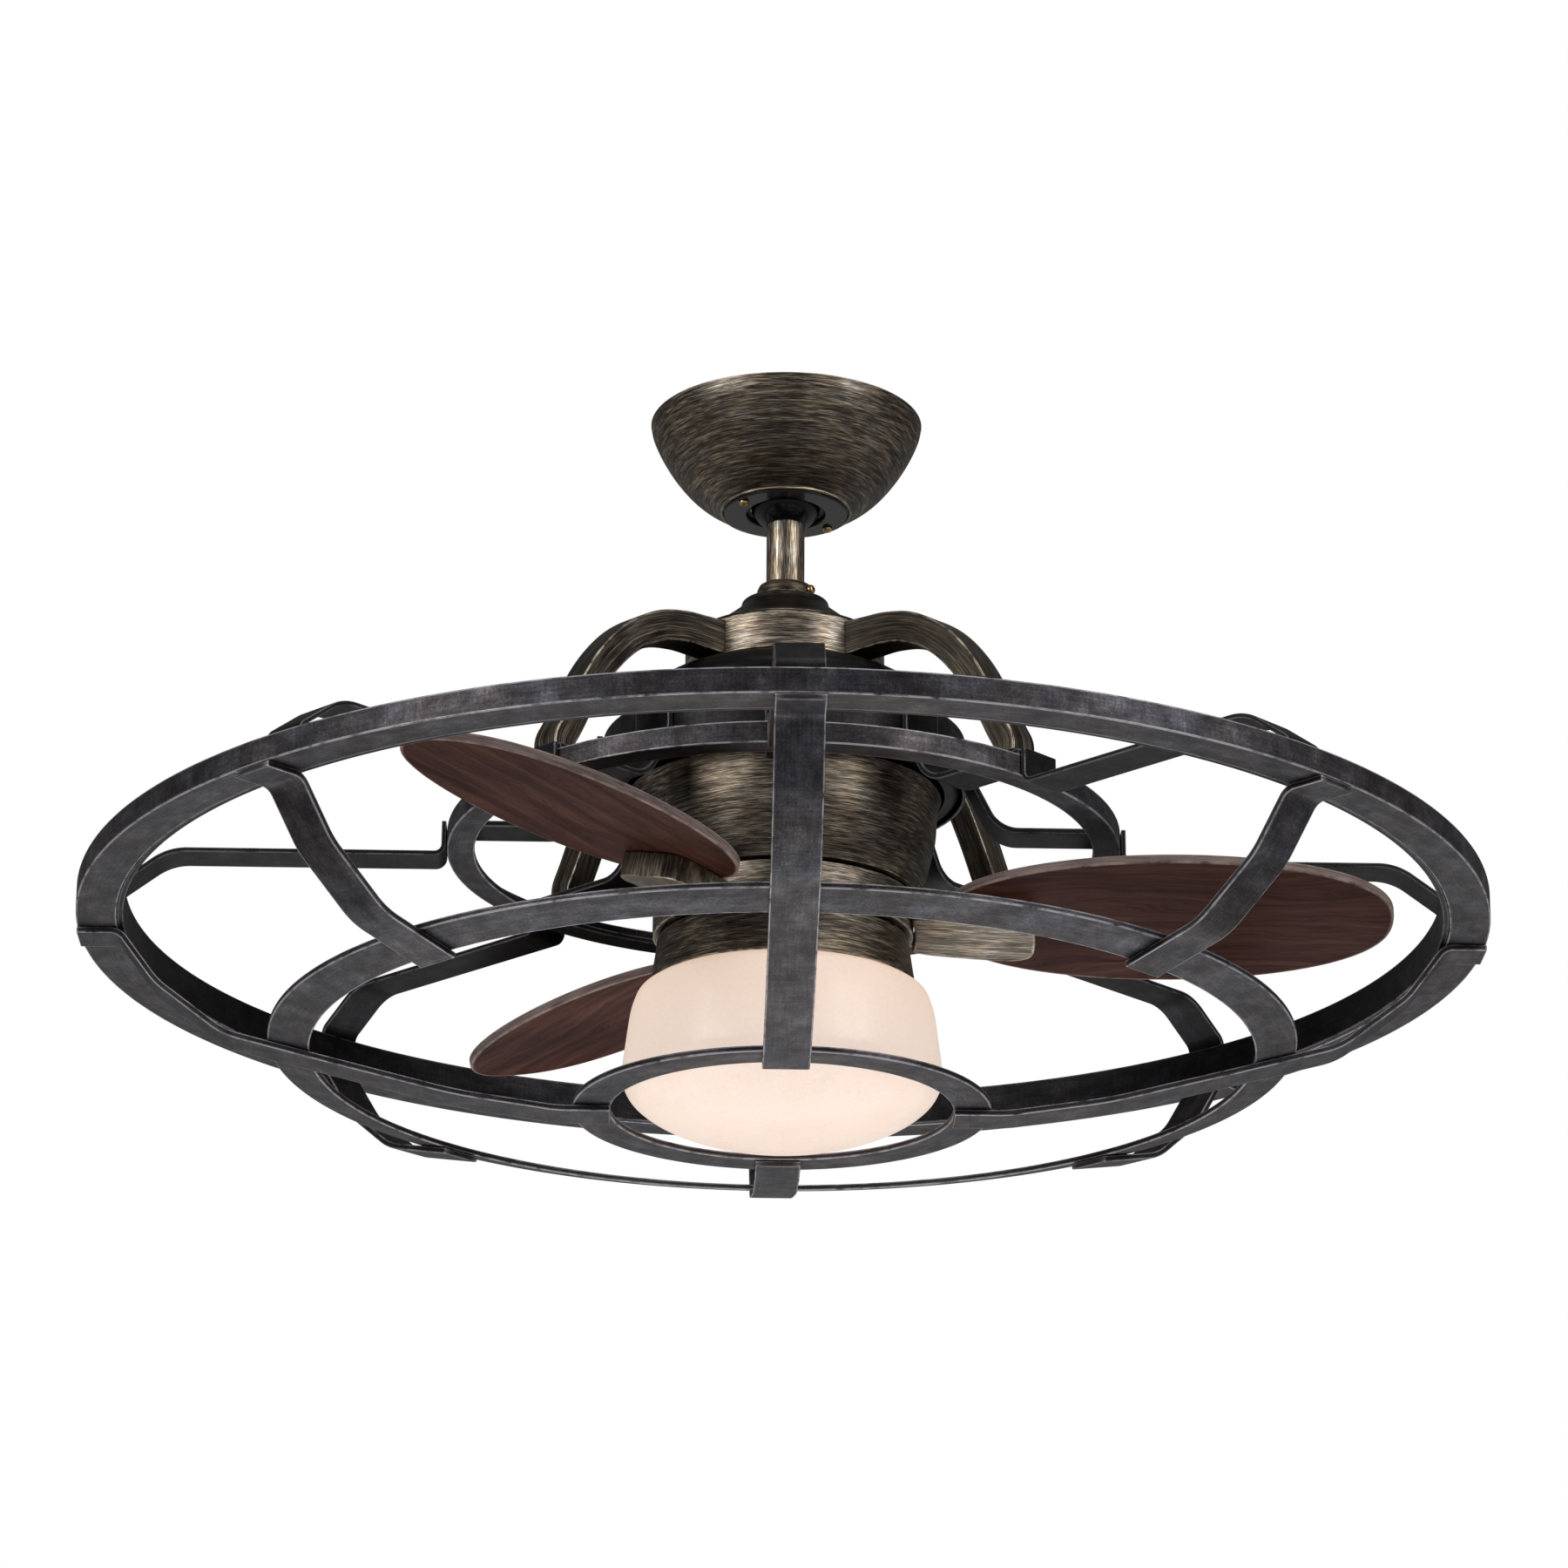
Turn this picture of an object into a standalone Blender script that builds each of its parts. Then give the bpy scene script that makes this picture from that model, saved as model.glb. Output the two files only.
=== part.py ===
"""A caged ceiling fan with a light, as separate pieces. Blender 4.5, metres, +Z up.

The origin is on the fan's axis at the ceiling. Ceiling pieces are measured down from it.
Everything that hangs is measured from the rim level, the underside of the cage's big rim.
In a profile each point is (radius, height).
"""
import math

import bmesh
import bpy
from mathutils import Matrix, Vector

# ---------------------------------------------------------------- driving dimensions
GAP = 0.0003                 # clearance between touching pieces
DROP = 0.366                 # ceiling down to the rim level
BALL_BELOW_CEILING = 0.053   # centre of the hanger ball

RIM_R = 0.4572               # outer radius of the big rim
BAR = 0.004                  # thickness of the cage's flat bar
STRAP_WIDTH = 0.030
CAGE_TURN = 1.2              # degrees that the cage is turned from the arms
STRAP_STEP = 45.0            # degrees between neighbouring straps

RIM_HEIGHT = 0.016
RIM_FLANGE_R = 0.4312        # inner radius of the rim's flange
HOOP_R = 0.4308              # outer radius of the hoop that stands inside the flange
HOOP_TOP = 0.0240
UPPER_RING_R = 0.2200
UPPER_RING_FLANGE_R = 0.2020
UPPER_RING_Z = (0.0577, 0.0718)
TOP_STRAP_Z = 0.0535         # centre of the top straps' level run
TOP_BAR = 0.003              # thickness of the top straps
MIDDLE_RING_R = (0.3045, 0.3315)
MIDDLE_RING_Z = -0.0765      # at the middle of the ring's width
MIDDLE_RING_SLOPE = 0.26
BOTTOM_RING_R = (0.1105, 0.1350)
BOTTOM_RING_Z = -0.1135

ROD_R = 0.0127
ROD_BORE_R = 0.0105
SHAFT_R = 0.0100
SHAFT_BORE_R = 0.0060
BALL_R = 0.0245
DRUM_R = 0.0660
DRUM_TOP = 0.2056
ARM_COUNT = 4
ARM_WIDTH = 0.020

BLADE_COUNT = 3
BLADE_ROOT_R = 0.1025
BLADE_TIP_R = 0.397
BLADE_WIDTH = 0.150
BLADE_THICKNESS = 0.006
BLADE_Z = 0.0165
BLADE_PITCH = 12.5           # degrees
BLADE_TURN = -1.2            # degrees from +X to the first blade
FLYWHEEL_R = 0.0850
FLYWHEEL_Z = (0.0020, 0.0285)

FITTER_BOTTOM = -0.0325
GLASS_BOTTOM = -0.1358
GLASS_WALL = 0.003
SOCKET_X = 0.034

BRACKET_HOLE_X = 0.04445     # ceiling-box screws, 3.5 inches apart
COVER_Z = (-0.0650, -0.0625)         # canopy cover, below the ceiling
CANOPY_SCREW_R = 0.0360
CANOPY_SCREW_ANGLES = (-141.0, 39.0)
COLLAR_Z = (0.2385, 0.2492)
COLLAR_R = 0.0187
COLLAR_SCREW_ANGLE = -30.0

FINE = 48                    # facets round the cage's rings
ROUND = 28                   # facets round the body's turned pieces
SMALL = 16                   # facets round small pieces


# ---------------------------------------------------------------- materials
def material(name, color, roughness, metallic, glow=0.0):
    mat = bpy.data.materials.new(name)
    mat.use_nodes = True
    shader = mat.node_tree.nodes["Principled BSDF"]
    shader.inputs["Base Color"].default_value = (*color, 1.0)
    shader.inputs["Roughness"].default_value = roughness
    shader.inputs["Metallic"].default_value = metallic
    if glow:
        shader.inputs["Emission Color"].default_value = (*color, 1.0)
        shader.inputs["Emission Strength"].default_value = glow
    return mat


def bronze():
    return material("brushed_bronze", (0.13, 0.11, 0.08), 0.42, 0.85)


def dark_steel():
    return material("dark_steel", (0.055, 0.055, 0.065), 0.45, 0.8)


def black():
    return material("black_enamel", (0.01, 0.01, 0.012), 0.2, 0.2)


def plain_steel():
    return material("plain_steel", (0.55, 0.55, 0.56), 0.35, 1.0)


def brass():
    return material("brass", (0.55, 0.42, 0.20), 0.3, 1.0)


def walnut():
    return material("walnut", (0.075, 0.035, 0.022), 0.45, 0.0)


def opal_glass():
    return material("opal_glass", (0.95, 0.80, 0.62), 0.35, 0.0, glow=1.0)


def lamp_white():
    return material("lamp_white", (0.95, 0.92, 0.85), 0.5, 0.0, glow=1.5)


def cast_alloy():
    return material("cast_alloy", (0.50, 0.50, 0.50), 0.55, 1.0)


def wound_iron():
    return material("wound_iron", (0.35, 0.20, 0.10), 0.5, 0.9)


# ---------------------------------------------------------------- shapes
def finish(name, bm, mat, parent):
    """Turns a closed bmesh into a named object with smooth round faces."""
    bmesh.ops.recalc_face_normals(bm, faces=bm.faces)
    mesh = bpy.data.meshes.new(name)
    bm.to_mesh(mesh)
    bm.free()
    mesh.shade_smooth()
    mesh.set_sharp_from_angle(angle=math.radians(32))
    mesh.materials.append(mat)
    obj = bpy.data.objects.new(name, mesh)
    bpy.context.scene.collection.objects.link(obj)
    obj.parent = parent
    return obj


def turned_mesh(profile, segments):
    """Revolves a profile round Z: a loop when it stays off the axis, else from axis to axis."""
    bm = bmesh.new()
    rings = []
    for radius, height in profile:
        if radius == 0:
            rings.append([bm.verts.new((0, 0, height))] * segments)
            continue
        ring = []
        for i in range(segments):
            angle = 2 * math.pi * i / segments
            ring.append(bm.verts.new((radius * math.cos(angle), radius * math.sin(angle), height)))
        rings.append(ring)
    pairs = list(zip(rings, rings[1:]))
    if profile[0][0] > 0:
        pairs.append((rings[-1], rings[0]))
    for lower, upper in pairs:
        for i in range(segments):
            j = (i + 1) % segments
            corners = [lower[i], lower[j], upper[j], upper[i]]
            bm.faces.new(list(dict.fromkeys(corners)))
    return bm


def turned(name, profile, mat, parent, segments=ROUND):
    return finish(name, turned_mesh(profile, segments), mat, parent)


def shell_profile(outer, wall):
    """A closed loop: the outer outline, and back along a copy that is one wall further in."""
    inner = []
    for i, point in enumerate(outer):
        before = Vector(outer[max(i - 1, 0)])
        after = Vector(outer[min(i + 1, len(outer) - 1)])
        along = (after - before).normalized()
        inward = Vector((-along.y, along.x)) * wall
        if inward.x > 0:
            inward = -inward
        inner.append((point[0] + inward.x, point[1] + inward.y))
    return list(outer) + inner[::-1]


def smooth_path(points, steps):
    """A Catmull-Rom curve through the points."""
    points = [Vector(p) for p in points]
    ends = [2 * points[0] - points[1]] + points + [2 * points[-1] - points[-2]]
    path = []
    for i in range(1, len(ends) - 2):
        a, b, c, d = ends[i - 1:i + 3]
        for step in range(steps):
            t = step / steps
            path.append(0.5 * (2 * b + (c - a) * t + (2 * a - 5 * b + 4 * c - d) * t ** 2
                               + (3 * b - a - 3 * c + d) * t ** 3))
    path.append(points[-1])
    return path


def rounded_path(corners, steps=3):
    """A path of straight runs whose inner corners, (radius, height, bend radius), are arcs."""
    points = [Vector(c[:2]) for c in corners]
    path = [points[0]]
    for i in range(1, len(points) - 1):
        back = (points[i - 1] - points[i]).normalized()
        ahead = (points[i + 1] - points[i]).normalized()
        half = back.angle(ahead) / 2
        bend = corners[i][2]
        reach = bend / math.tan(half)
        centre = points[i] + (back + ahead).normalized() * bend / math.sin(half)
        start = points[i] + back * reach - centre
        stop = points[i] + ahead * reach - centre
        sweep = math.atan2(start.x * stop.y - start.y * stop.x, start.dot(stop))
        for step in range(steps + 1):
            path.append(centre + Matrix.Rotation(sweep * step / steps, 2) @ start)
    path.append(points[-1])
    return path


def bar_mesh(path, width, thickness):
    """A bar of rectangular section along a path in the XZ plane; thickness may be a list."""
    bm = bmesh.new()
    sections = []
    for i, point in enumerate(path):
        before = (point - path[i - 1]).normalized() if i > 0 else None
        after = (path[i + 1] - point).normalized() if i < len(path) - 1 else None
        along = ((before or after) + (after or before)).normalized()
        stretch = 1.0 / max(along.dot(after or before), 0.5)
        deep = thickness[i] if isinstance(thickness, list) else thickness
        side = Vector((-along.y, along.x)) * deep / 2 * stretch
        section = []
        for sign, y in ((1, -1), (1, 1), (-1, 1), (-1, -1)):
            corner = point + side * sign
            section.append(bm.verts.new((corner.x, y * width / 2, corner.y)))
        sections.append(section)
    for one, two in zip(sections, sections[1:]):
        for k in range(4):
            bm.faces.new((one[k], one[(k + 1) % 4], two[(k + 1) % 4], two[k]))
    bm.faces.new(sections[0][::-1])
    bm.faces.new(sections[-1])
    return bm


def bar(name, path, width, thickness, mat, parent, angle=0.0):
    obj = finish(name, bar_mesh(path, width, thickness), mat, parent)
    obj.rotation_euler.z = math.radians(angle)
    return obj


def empty(name, parent=None, z=0.0):
    obj = bpy.data.objects.new(name, None)
    bpy.context.scene.collection.objects.link(obj)
    obj.parent = parent
    obj.location.z = z
    return obj


def cutter(name, bm, mat, parent):
    obj = finish(name, bm, mat, parent)
    obj.hide_render = True
    obj.display_type = "WIRE"
    return obj


def boolean(obj, other, operation="DIFFERENCE"):
    mod = obj.modifiers.new(other.name, "BOOLEAN")
    mod.operation = operation
    mod.solver = "EXACT"
    mod.object = other


def cylinder_mesh(radius, low, high, segments):
    return turned_mesh([(0, low), (radius, low), (radius, high), (0, high)], segments)


def box_mesh(low, high):
    bm = bmesh.new()
    bmesh.ops.create_cube(bm, size=1.0)
    size = Vector(high) - Vector(low)
    bmesh.ops.scale(bm, vec=size, verts=bm.verts)
    bmesh.ops.translate(bm, vec=(Vector(high) + Vector(low)) / 2, verts=bm.verts)
    return bm


def screw(name, head_r, head_height, shank_r, shank_length, mat, parent):
    """A pan-head screw along Z: its head from 0 down, its shank from 0 up."""
    edge = head_height * 0.45
    profile = [(0, -head_height), (head_r * 0.6, -head_height), (head_r, -edge), (head_r, 0),
               (shank_r, 0), (shank_r, shank_length), (0, shank_length)]
    return turned(name, profile, mat, parent, 16)


# ---------------------------------------------------------------- at the ceiling
def make_ceiling_pieces(hub):
    steel = plain_steel()
    seat_low, seat_high = -0.0620, -0.0600
    plate_x, plate_y = 0.055, 0.019
    leg_x, leg_y, sheet = 0.036, 0.012, 0.002
    seat = [(0.0236, seat_low), (0.0385, seat_low), (0.0385, seat_high), (0.0242, seat_high)]
    bracket = turned("hanger_bracket", seat, steel, hub, ROUND)
    plate = cutter("bracket_plate", box_mesh((-plate_x, -plate_y, -sheet), (plate_x, plate_y, 0)),
                   steel, hub)
    boolean(bracket, plate, "UNION")
    for side in (-1, 1):
        low = (side * leg_x - sheet / 2, -leg_y, seat_low + sheet / 4)
        high = (side * leg_x + sheet / 2, leg_y, -sheet / 2)
        leg = cutter(f"bracket_leg_{side}", box_mesh(low, high), steel, hub)
        boolean(bracket, leg, "UNION")
        hole = cutter(f"bracket_hole_{side}", cylinder_mesh(0.0028, -0.01, 0.01, 12), steel, hub)
        hole.location.x = side * BRACKET_HOLE_X
        boolean(bracket, hole)

    outer = [(0.0426, -0.0630), (0.0550, -0.0560), (0.0660, -0.0465), (0.0760, -0.0340),
             (0.0838, -0.0210), (0.0892, -0.0090), (0.0910, -0.0010)]
    turned("canopy", shell_profile(outer, 0.0013), bronze(), hub)

    cover = turned("canopy_cover", [(0.0265, COVER_Z[0]), (0.0412, COVER_Z[0]), (0.0412, COVER_Z[1]),
                                    (0.0265, COVER_Z[1])], black(), hub)
    for number, angle in enumerate(CANOPY_SCREW_ANGLES, 1):
        turn = math.radians(angle)
        spot = (CANOPY_SCREW_R * math.cos(turn), CANOPY_SCREW_R * math.sin(turn), 0)
        hole = cutter(f"cover_hole_{number}", cylinder_mesh(0.0021, -0.08, -0.05, 12), steel, hub)
        hole.location = spot
        boolean(cover, hole)
        boolean(bracket, hole)
        piece = screw(f"canopy_screw_{number}", 0.0034, 0.0024, 0.0017, 0.0050, brass(), hub)
        piece.location = (spot[0], spot[1], COVER_Z[0] - GAP)


# ---------------------------------------------------------------- hanger and rod
def make_hanger(swing):
    """The ball is a sphere with a flat top, drawn about its own centre."""
    flat_top = 0.0130
    bore = ROD_R + GAP
    start = -math.acos(bore / BALL_R)
    end = math.asin(flat_top / BALL_R)
    steps = 8
    profile = []
    for step in range(steps + 1):
        angle = start + (end - start) * step / steps
        profile.append((BALL_R * math.cos(angle), BALL_R * math.sin(angle)))
    profile.append((bore, flat_top))
    turned("hanger_ball", profile, black(), swing, 28)

    pin_r = 0.0025
    pin = finish("ball_pin", cylinder_mesh(pin_r, -0.0205, 0.0205, 12), plain_steel(), swing)
    pin.rotation_euler.x = math.radians(90)
    pin.location.z = flat_top + GAP + pin_r
    return pin


def make_rod(rim, pin_height):
    rod_low, rod_high = 0.2145, DROP - 0.033
    rod = turned("downrod", [(ROD_BORE_R, rod_low), (ROD_R, rod_low), (ROD_R, rod_high),
                             (ROD_BORE_R, rod_high)], bronze(), rim, 24)
    hole = cutter("pin_hole", cylinder_mesh(0.0029, -0.03, 0.03, 12), bronze(), rim)
    hole.rotation_euler.x = math.radians(90)
    hole.location.z = pin_height
    boolean(rod, hole)

    bore = ROD_R + GAP
    low, high = COLLAR_Z
    collar = turned("rod_collar", [(bore, low), (COLLAR_R, low), (COLLAR_R, high - 0.004),
                                   (COLLAR_R - 0.0012, high - 0.0012), (COLLAR_R - 0.004, high),
                                   (bore, high)], bronze(), rim, 24)
    turn = math.radians(COLLAR_SCREW_ANGLE)
    outward = Vector((math.cos(turn), math.sin(turn), 0))
    height = (low + high) / 2 - 0.0005
    spin = outward.to_track_quat("-Z", "Y").to_euler()
    hole = cutter("collar_hole", cylinder_mesh(0.0019, -0.006, 0.006, 12), bronze(), rim)
    hole.rotation_euler = spin
    hole.location = outward * COLLAR_R + Vector((0, 0, height))
    boolean(collar, hole)
    piece = screw("collar_screw", 0.0034, 0.0030, 0.0015, 0.0035, brass(), rim)
    piece.rotation_euler = spin
    piece.location = outward * (COLLAR_R + GAP) + Vector((0, 0, height))

    turned("yoke_cap", [(bore, 0.2120), (bore, 0.2382), (0.0235, 0.2382), (0.0287, 0.2360),
                        (0.0307, 0.2310), (0.0400, 0.2230), (0.0500, 0.2155), (0.0630, 0.2090),
                        (0.0645, DRUM_TOP + GAP), (0.0200, DRUM_TOP + GAP), (0.0200, 0.2120)],
           bronze(), rim)
    bore, inside, ceiling = SHAFT_R + GAP, 0.0580, DRUM_TOP - 0.006
    turned("top_drum", [(bore, ceiling), (inside, ceiling), (inside, 0.1550), (0.0620, 0.1550),
                        (0.0630, 0.1804), (DRUM_R, 0.1812), (DRUM_R, DRUM_TOP), (bore, DRUM_TOP)],
           bronze(), rim)


def make_arms(rim):
    points = [(0.060, 0.1925), (0.080, 0.1915), (0.100, 0.1900), (0.123, 0.1840), (0.148, 0.1690),
              (0.169, 0.1470), (0.185, 0.1220), (0.1980, 0.0970), (0.2045, 0.0850), (0.2048, 0.0769)]
    path = smooth_path(points, 2)
    root, foot = 0.0240, 0.0175
    depth = [root + (foot - root) * min(1.0, max(0.0, p.x - 0.060) / 0.140) ** 0.8
             for p in path]
    clear = cutter("drum_clearance", cylinder_mesh(DRUM_R + 0.0004, 0.10, 0.25, ROUND * 2),
                   bronze(), rim)
    for number in range(ARM_COUNT):
        angle = 45 + 360 / ARM_COUNT * number
        piece = bar(f"arm_{number + 1}", path, ARM_WIDTH, depth, bronze(), rim, angle)
        boolean(piece, clear)


# ---------------------------------------------------------------- motor
def make_motor(rim, spin):
    shell = [(0.0638, 0.1795), (0.0700, 0.1785), (0.0860, 0.1720), (0.0985, 0.1620), (0.1010, 0.1530),
             (0.1033, 0.1480), (0.1080, 0.1440), (0.1125, 0.1400), (0.1150, 0.1350), (0.1160, 0.1280),
             (0.1160, 0.1080), (0.1148, 0.1030), (0.1115, 0.1003), (0.1055, 0.0998)]
    turned("motor_top_shell", shell_profile(shell[::-1], 0.0018), dark_steel(), rim)

    wall, lip_r, low = 0.0018, 0.0520, 0.0305
    outer = [(0.0870, low), (0.0905, 0.0345), (0.0925, 0.0405), (0.0965, 0.0560), (0.0995, 0.0700),
             (0.1005, 0.0850), (0.1015, 0.0930), (0.1033, 0.0975)]
    inner = [(r - wall, z) for r, z in outer[1:]][::-1]
    turned("lower_housing", [(lip_r, low)] + outer + inner + [(0.0865, low + wall), (lip_r, low + wall)],
           bronze(), rim)

    turned("motor_shaft", [(SHAFT_BORE_R, -0.0180), (SHAFT_R, -0.0180), (SHAFT_R, 0.2050),
                           (SHAFT_BORE_R, 0.2050)], plain_steel(), rim, SMALL)
    bore = SHAFT_R + GAP
    turned("stator", [(bore, 0.0640), (0.0300, 0.0640), (0.0420, 0.0720), (0.0680, 0.0720),
                      (0.0680, 0.1080), (0.0420, 0.1080), (0.0300, 0.1160), (bore, 0.1160)],
           wound_iron(), rim, 24)
    race = 0.0160
    for name, low in (("bearing_lower", 0.0503), ("bearing_upper", 0.1243)):
        turned(name, [(bore, low), (race, low), (race, low + 0.0054), (bore, low + 0.0054)],
               plain_steel(), rim, SMALL)
    bell_r, bell_wall, bell_plate, bell_low, bell_high = 0.0780, 0.005, 0.006, 0.0500, 0.1300
    hole = race + GAP
    turned("rotor_bell", [(hole, bell_low), (bell_r, bell_low), (bell_r, bell_high), (hole, bell_high),
                          (hole, bell_high - bell_plate), (bell_r - bell_wall, bell_high - bell_plate),
                          (bell_r - bell_wall, bell_low + bell_plate), (hole, bell_low + bell_plate)],
           cast_alloy(), spin, 24)
    low, high = FLYWHEEL_Z
    turned("flywheel", [(0.0120, low), (FLYWHEEL_R - 0.001, low), (FLYWHEEL_R, low + 0.001),
                        (FLYWHEEL_R, high - 0.001), (FLYWHEEL_R - 0.001, high), (0.0450, high),
                        (0.0450, bell_low - GAP), (0.0120, bell_low - GAP)], bronze(), spin)


# ---------------------------------------------------------------- blades
def leaf_outline(count=20):
    """A pointed oval from root to tip, widest a little past its middle."""
    length = BLADE_TIP_R - BLADE_ROOT_R
    middle = (BLADE_TIP_R + BLADE_ROOT_R) / 2
    near, far = [], []
    for i in range(count + 1):
        u = -math.cos(math.pi * i / count)
        half = BLADE_WIDTH / 2 * max(0.0, 1 - u * u) ** 0.42
        x = middle + u * length / 2
        near.append((x, -half))
        far.append((x, half))
    return near + far[-2:0:-1]


def slab(outline, low, high):
    bm = bmesh.new()
    bottom = [bm.verts.new((x, y, low)) for x, y in outline]
    top = [bm.verts.new((x, y, high)) for x, y in outline]
    bm.faces.new(bottom[::-1])
    bm.faces.new(top)
    for i in range(len(outline)):
        j = (i + 1) % len(outline)
        bm.faces.new((bottom[i], bottom[j], top[j], top[i]))
    return bm


def iron_mesh():
    """A block under the blade's root that widens outward and ends in a rounded nose."""
    top = -BLADE_THICKNESS / 2 - GAP
    stations = [(0.078, 0.0200, 0.0110), (0.100, 0.0225, 0.0130), (0.148, 0.0235, 0.0160),
                (0.158, 0.0215, 0.0150), (0.164, 0.0155, 0.0135)]
    bm = bmesh.new()
    rings = []
    for x, half, deep in stations:
        ring = [(x, -half, top), (x, half, top), (x, half * 0.85, top - deep), (x, -half * 0.85, top - deep)]
        rings.append([bm.verts.new(p) for p in ring])
    for one, two in zip(rings, rings[1:]):
        for k in range(4):
            bm.faces.new((one[k], one[(k + 1) % 4], two[(k + 1) % 4], two[k]))
    bm.faces.new(rings[0][::-1])
    bm.faces.new(rings[-1])
    return bm


def make_blades(spin):
    clear = cutter("flywheel_clearance", cylinder_mesh(FLYWHEEL_R + 0.0004, -0.05, 0.06, ROUND * 2),
                   bronze(), spin)
    half = BLADE_THICKNESS / 2
    for number in range(BLADE_COUNT):
        turn = Matrix.Rotation(math.radians(BLADE_TURN + 360 / BLADE_COUNT * number), 4, "Z")
        pitch = Matrix.Rotation(math.radians(-BLADE_PITCH), 4, "X")
        place = turn @ Matrix.Translation((0, 0, BLADE_Z)) @ pitch
        blade = finish(f"blade_{number + 1}", slab(leaf_outline(), -half, half), walnut(), spin)
        blade.matrix_local = place
        iron = finish(f"blade_iron_{number + 1}", iron_mesh(), bronze(), spin)
        iron.matrix_local = place
        boolean(iron, clear)


# ---------------------------------------------------------------- light
def make_light(rim, shade):
    top, wall = -0.0010, 0.0015
    outer = [(0.0820, top), (0.0830, -0.0100), (0.0848, -0.0220), (0.0865, FITTER_BOTTOM)]
    inner = [(r - wall, z) for r, z in outer[1:]][::-1]
    bore = SHAFT_R + GAP
    turned("light_fitter", [(bore, top)] + outer + inner + [(0.0805, top - wall), (bore, top - wall)],
           bronze(), rim)
    turned("lamp_plate", [(bore, -0.0130), (0.0700, -0.0130), (0.0700, -0.0110), (bore, -0.0110)],
           plain_steel(), rim, 32)
    for number, x in enumerate((-SOCKET_X, SOCKET_X), 1):
        low, high = -0.0420, -0.0133
        socket = turned(f"lamp_socket_{number}", [(0, high), (0.0140, high), (0.0140, low), (0.0118, low),
                                                  (0.0118, high - 0.004), (0, high - 0.004)],
                        black(), rim, SMALL)
        socket.location.x = x
        bulb = turned(f"bulb_{number}", [(0, -0.0185), (0.0112, -0.0185), (0.0112, -0.0430),
                                         (0.0150, -0.0530), (0.0215, -0.0660), (0.0225, -0.0760),
                                         (0.0200, -0.0870), (0.0130, -0.0950), (0, -0.0980)],
                      lamp_white(), rim, SMALL)
        bulb.location.x = x

    outer = [(0, GLASS_BOTTOM), (0.0300, -0.1338), (0.0570, -0.1280), (0.0810, -0.1185), (0.0955, -0.1085),
             (0.1020, -0.0990), (0.1034, -0.0890), (0.1012, -0.0700), (0.0987, -0.0520),
             (0.0962, -0.0430), (0.0935, -0.0375), (0.0885, FITTER_BOTTOM - 0.0015),
             (0.0800, FITTER_BOTTOM - 0.0015), (0.0800, -0.0160)]
    wall = [(max(r, 0), z) for r, z in shell_profile(outer, GLASS_WALL)]
    turned("glass_shade", wall, opal_glass(), shade)


# ---------------------------------------------------------------- cage
def make_rings(rim):
    steel = dark_steel()
    turned("cage_rim", [(RIM_FLANGE_R, 0), (RIM_R, 0), (RIM_R, RIM_HEIGHT), (RIM_R - BAR, RIM_HEIGHT),
                        (RIM_R - BAR, BAR), (RIM_FLANGE_R, BAR)], steel, rim, FINE)
    turned("cage_hoop", [(HOOP_R - BAR, 0.0005), (HOOP_R, 0.0005), (HOOP_R, HOOP_TOP),
                         (HOOP_R - BAR, HOOP_TOP)], steel, rim, FINE)
    low, high = UPPER_RING_Z
    turned("upper_ring", [(UPPER_RING_FLANGE_R, low), (UPPER_RING_R, low), (UPPER_RING_R, high),
                          (UPPER_RING_R - BAR, high), (UPPER_RING_R - BAR, low + BAR),
                          (UPPER_RING_FLANGE_R, low + BAR)], steel, rim, FINE)
    tilt = (MIDDLE_RING_R[1] - MIDDLE_RING_R[0]) / 2 * MIDDLE_RING_SLOPE
    half = BAR / 2
    turned("middle_ring", [(MIDDLE_RING_R[0], MIDDLE_RING_Z - tilt - half),
                           (MIDDLE_RING_R[1], MIDDLE_RING_Z + tilt - half),
                           (MIDDLE_RING_R[1], MIDDLE_RING_Z + tilt + half),
                           (MIDDLE_RING_R[0], MIDDLE_RING_Z - tilt + half)], steel, rim, FINE)
    turned("bottom_ring", [(BOTTOM_RING_R[0], BOTTOM_RING_Z - half), (BOTTOM_RING_R[1], BOTTOM_RING_Z - half),
                           (BOTTOM_RING_R[1], BOTTOM_RING_Z + half),
                           (BOTTOM_RING_R[0], BOTTOM_RING_Z + half)], steel, rim, FINE)


def under_middle_ring(radius):
    """Height of a lower strap's centre line where it passes below the middle ring."""
    middle = sum(MIDDLE_RING_R) / 2
    return MIDDLE_RING_Z + (radius - middle) * MIDDLE_RING_SLOPE - BAR - 0.0006


def make_lower_straps(rim):
    under_rim = -BAR / 2 - GAP
    under_bottom = BOTTOM_RING_Z - BAR - 0.0006
    outer = [(RIM_R, under_rim), (0.4300, under_rim, 0.012), (0.4045, -0.0365, 0.050),
             (0.3600, under_middle_ring(0.3600), 0.050)]
    short = rounded_path(outer + [(MIDDLE_RING_R[0] - 0.002, under_middle_ring(MIDDLE_RING_R[0] - 0.002))])
    long = rounded_path(outer + [(0.2940, under_middle_ring(0.2940), 0.20), (0.2100, -0.1085, 0.30),
                                 (0.1450, under_bottom, 0.10), (BOTTOM_RING_R[0], under_bottom)])
    for number in range(4):
        angle = CAGE_TURN + 90 * number
        bar(f"lower_long_strap_{number + 1}", long, STRAP_WIDTH, BAR, dark_steel(), rim, angle)
        bar(f"lower_short_strap_{number + 1}", short, STRAP_WIDTH, BAR, dark_steel(), rim,
            angle + STRAP_STEP)


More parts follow.
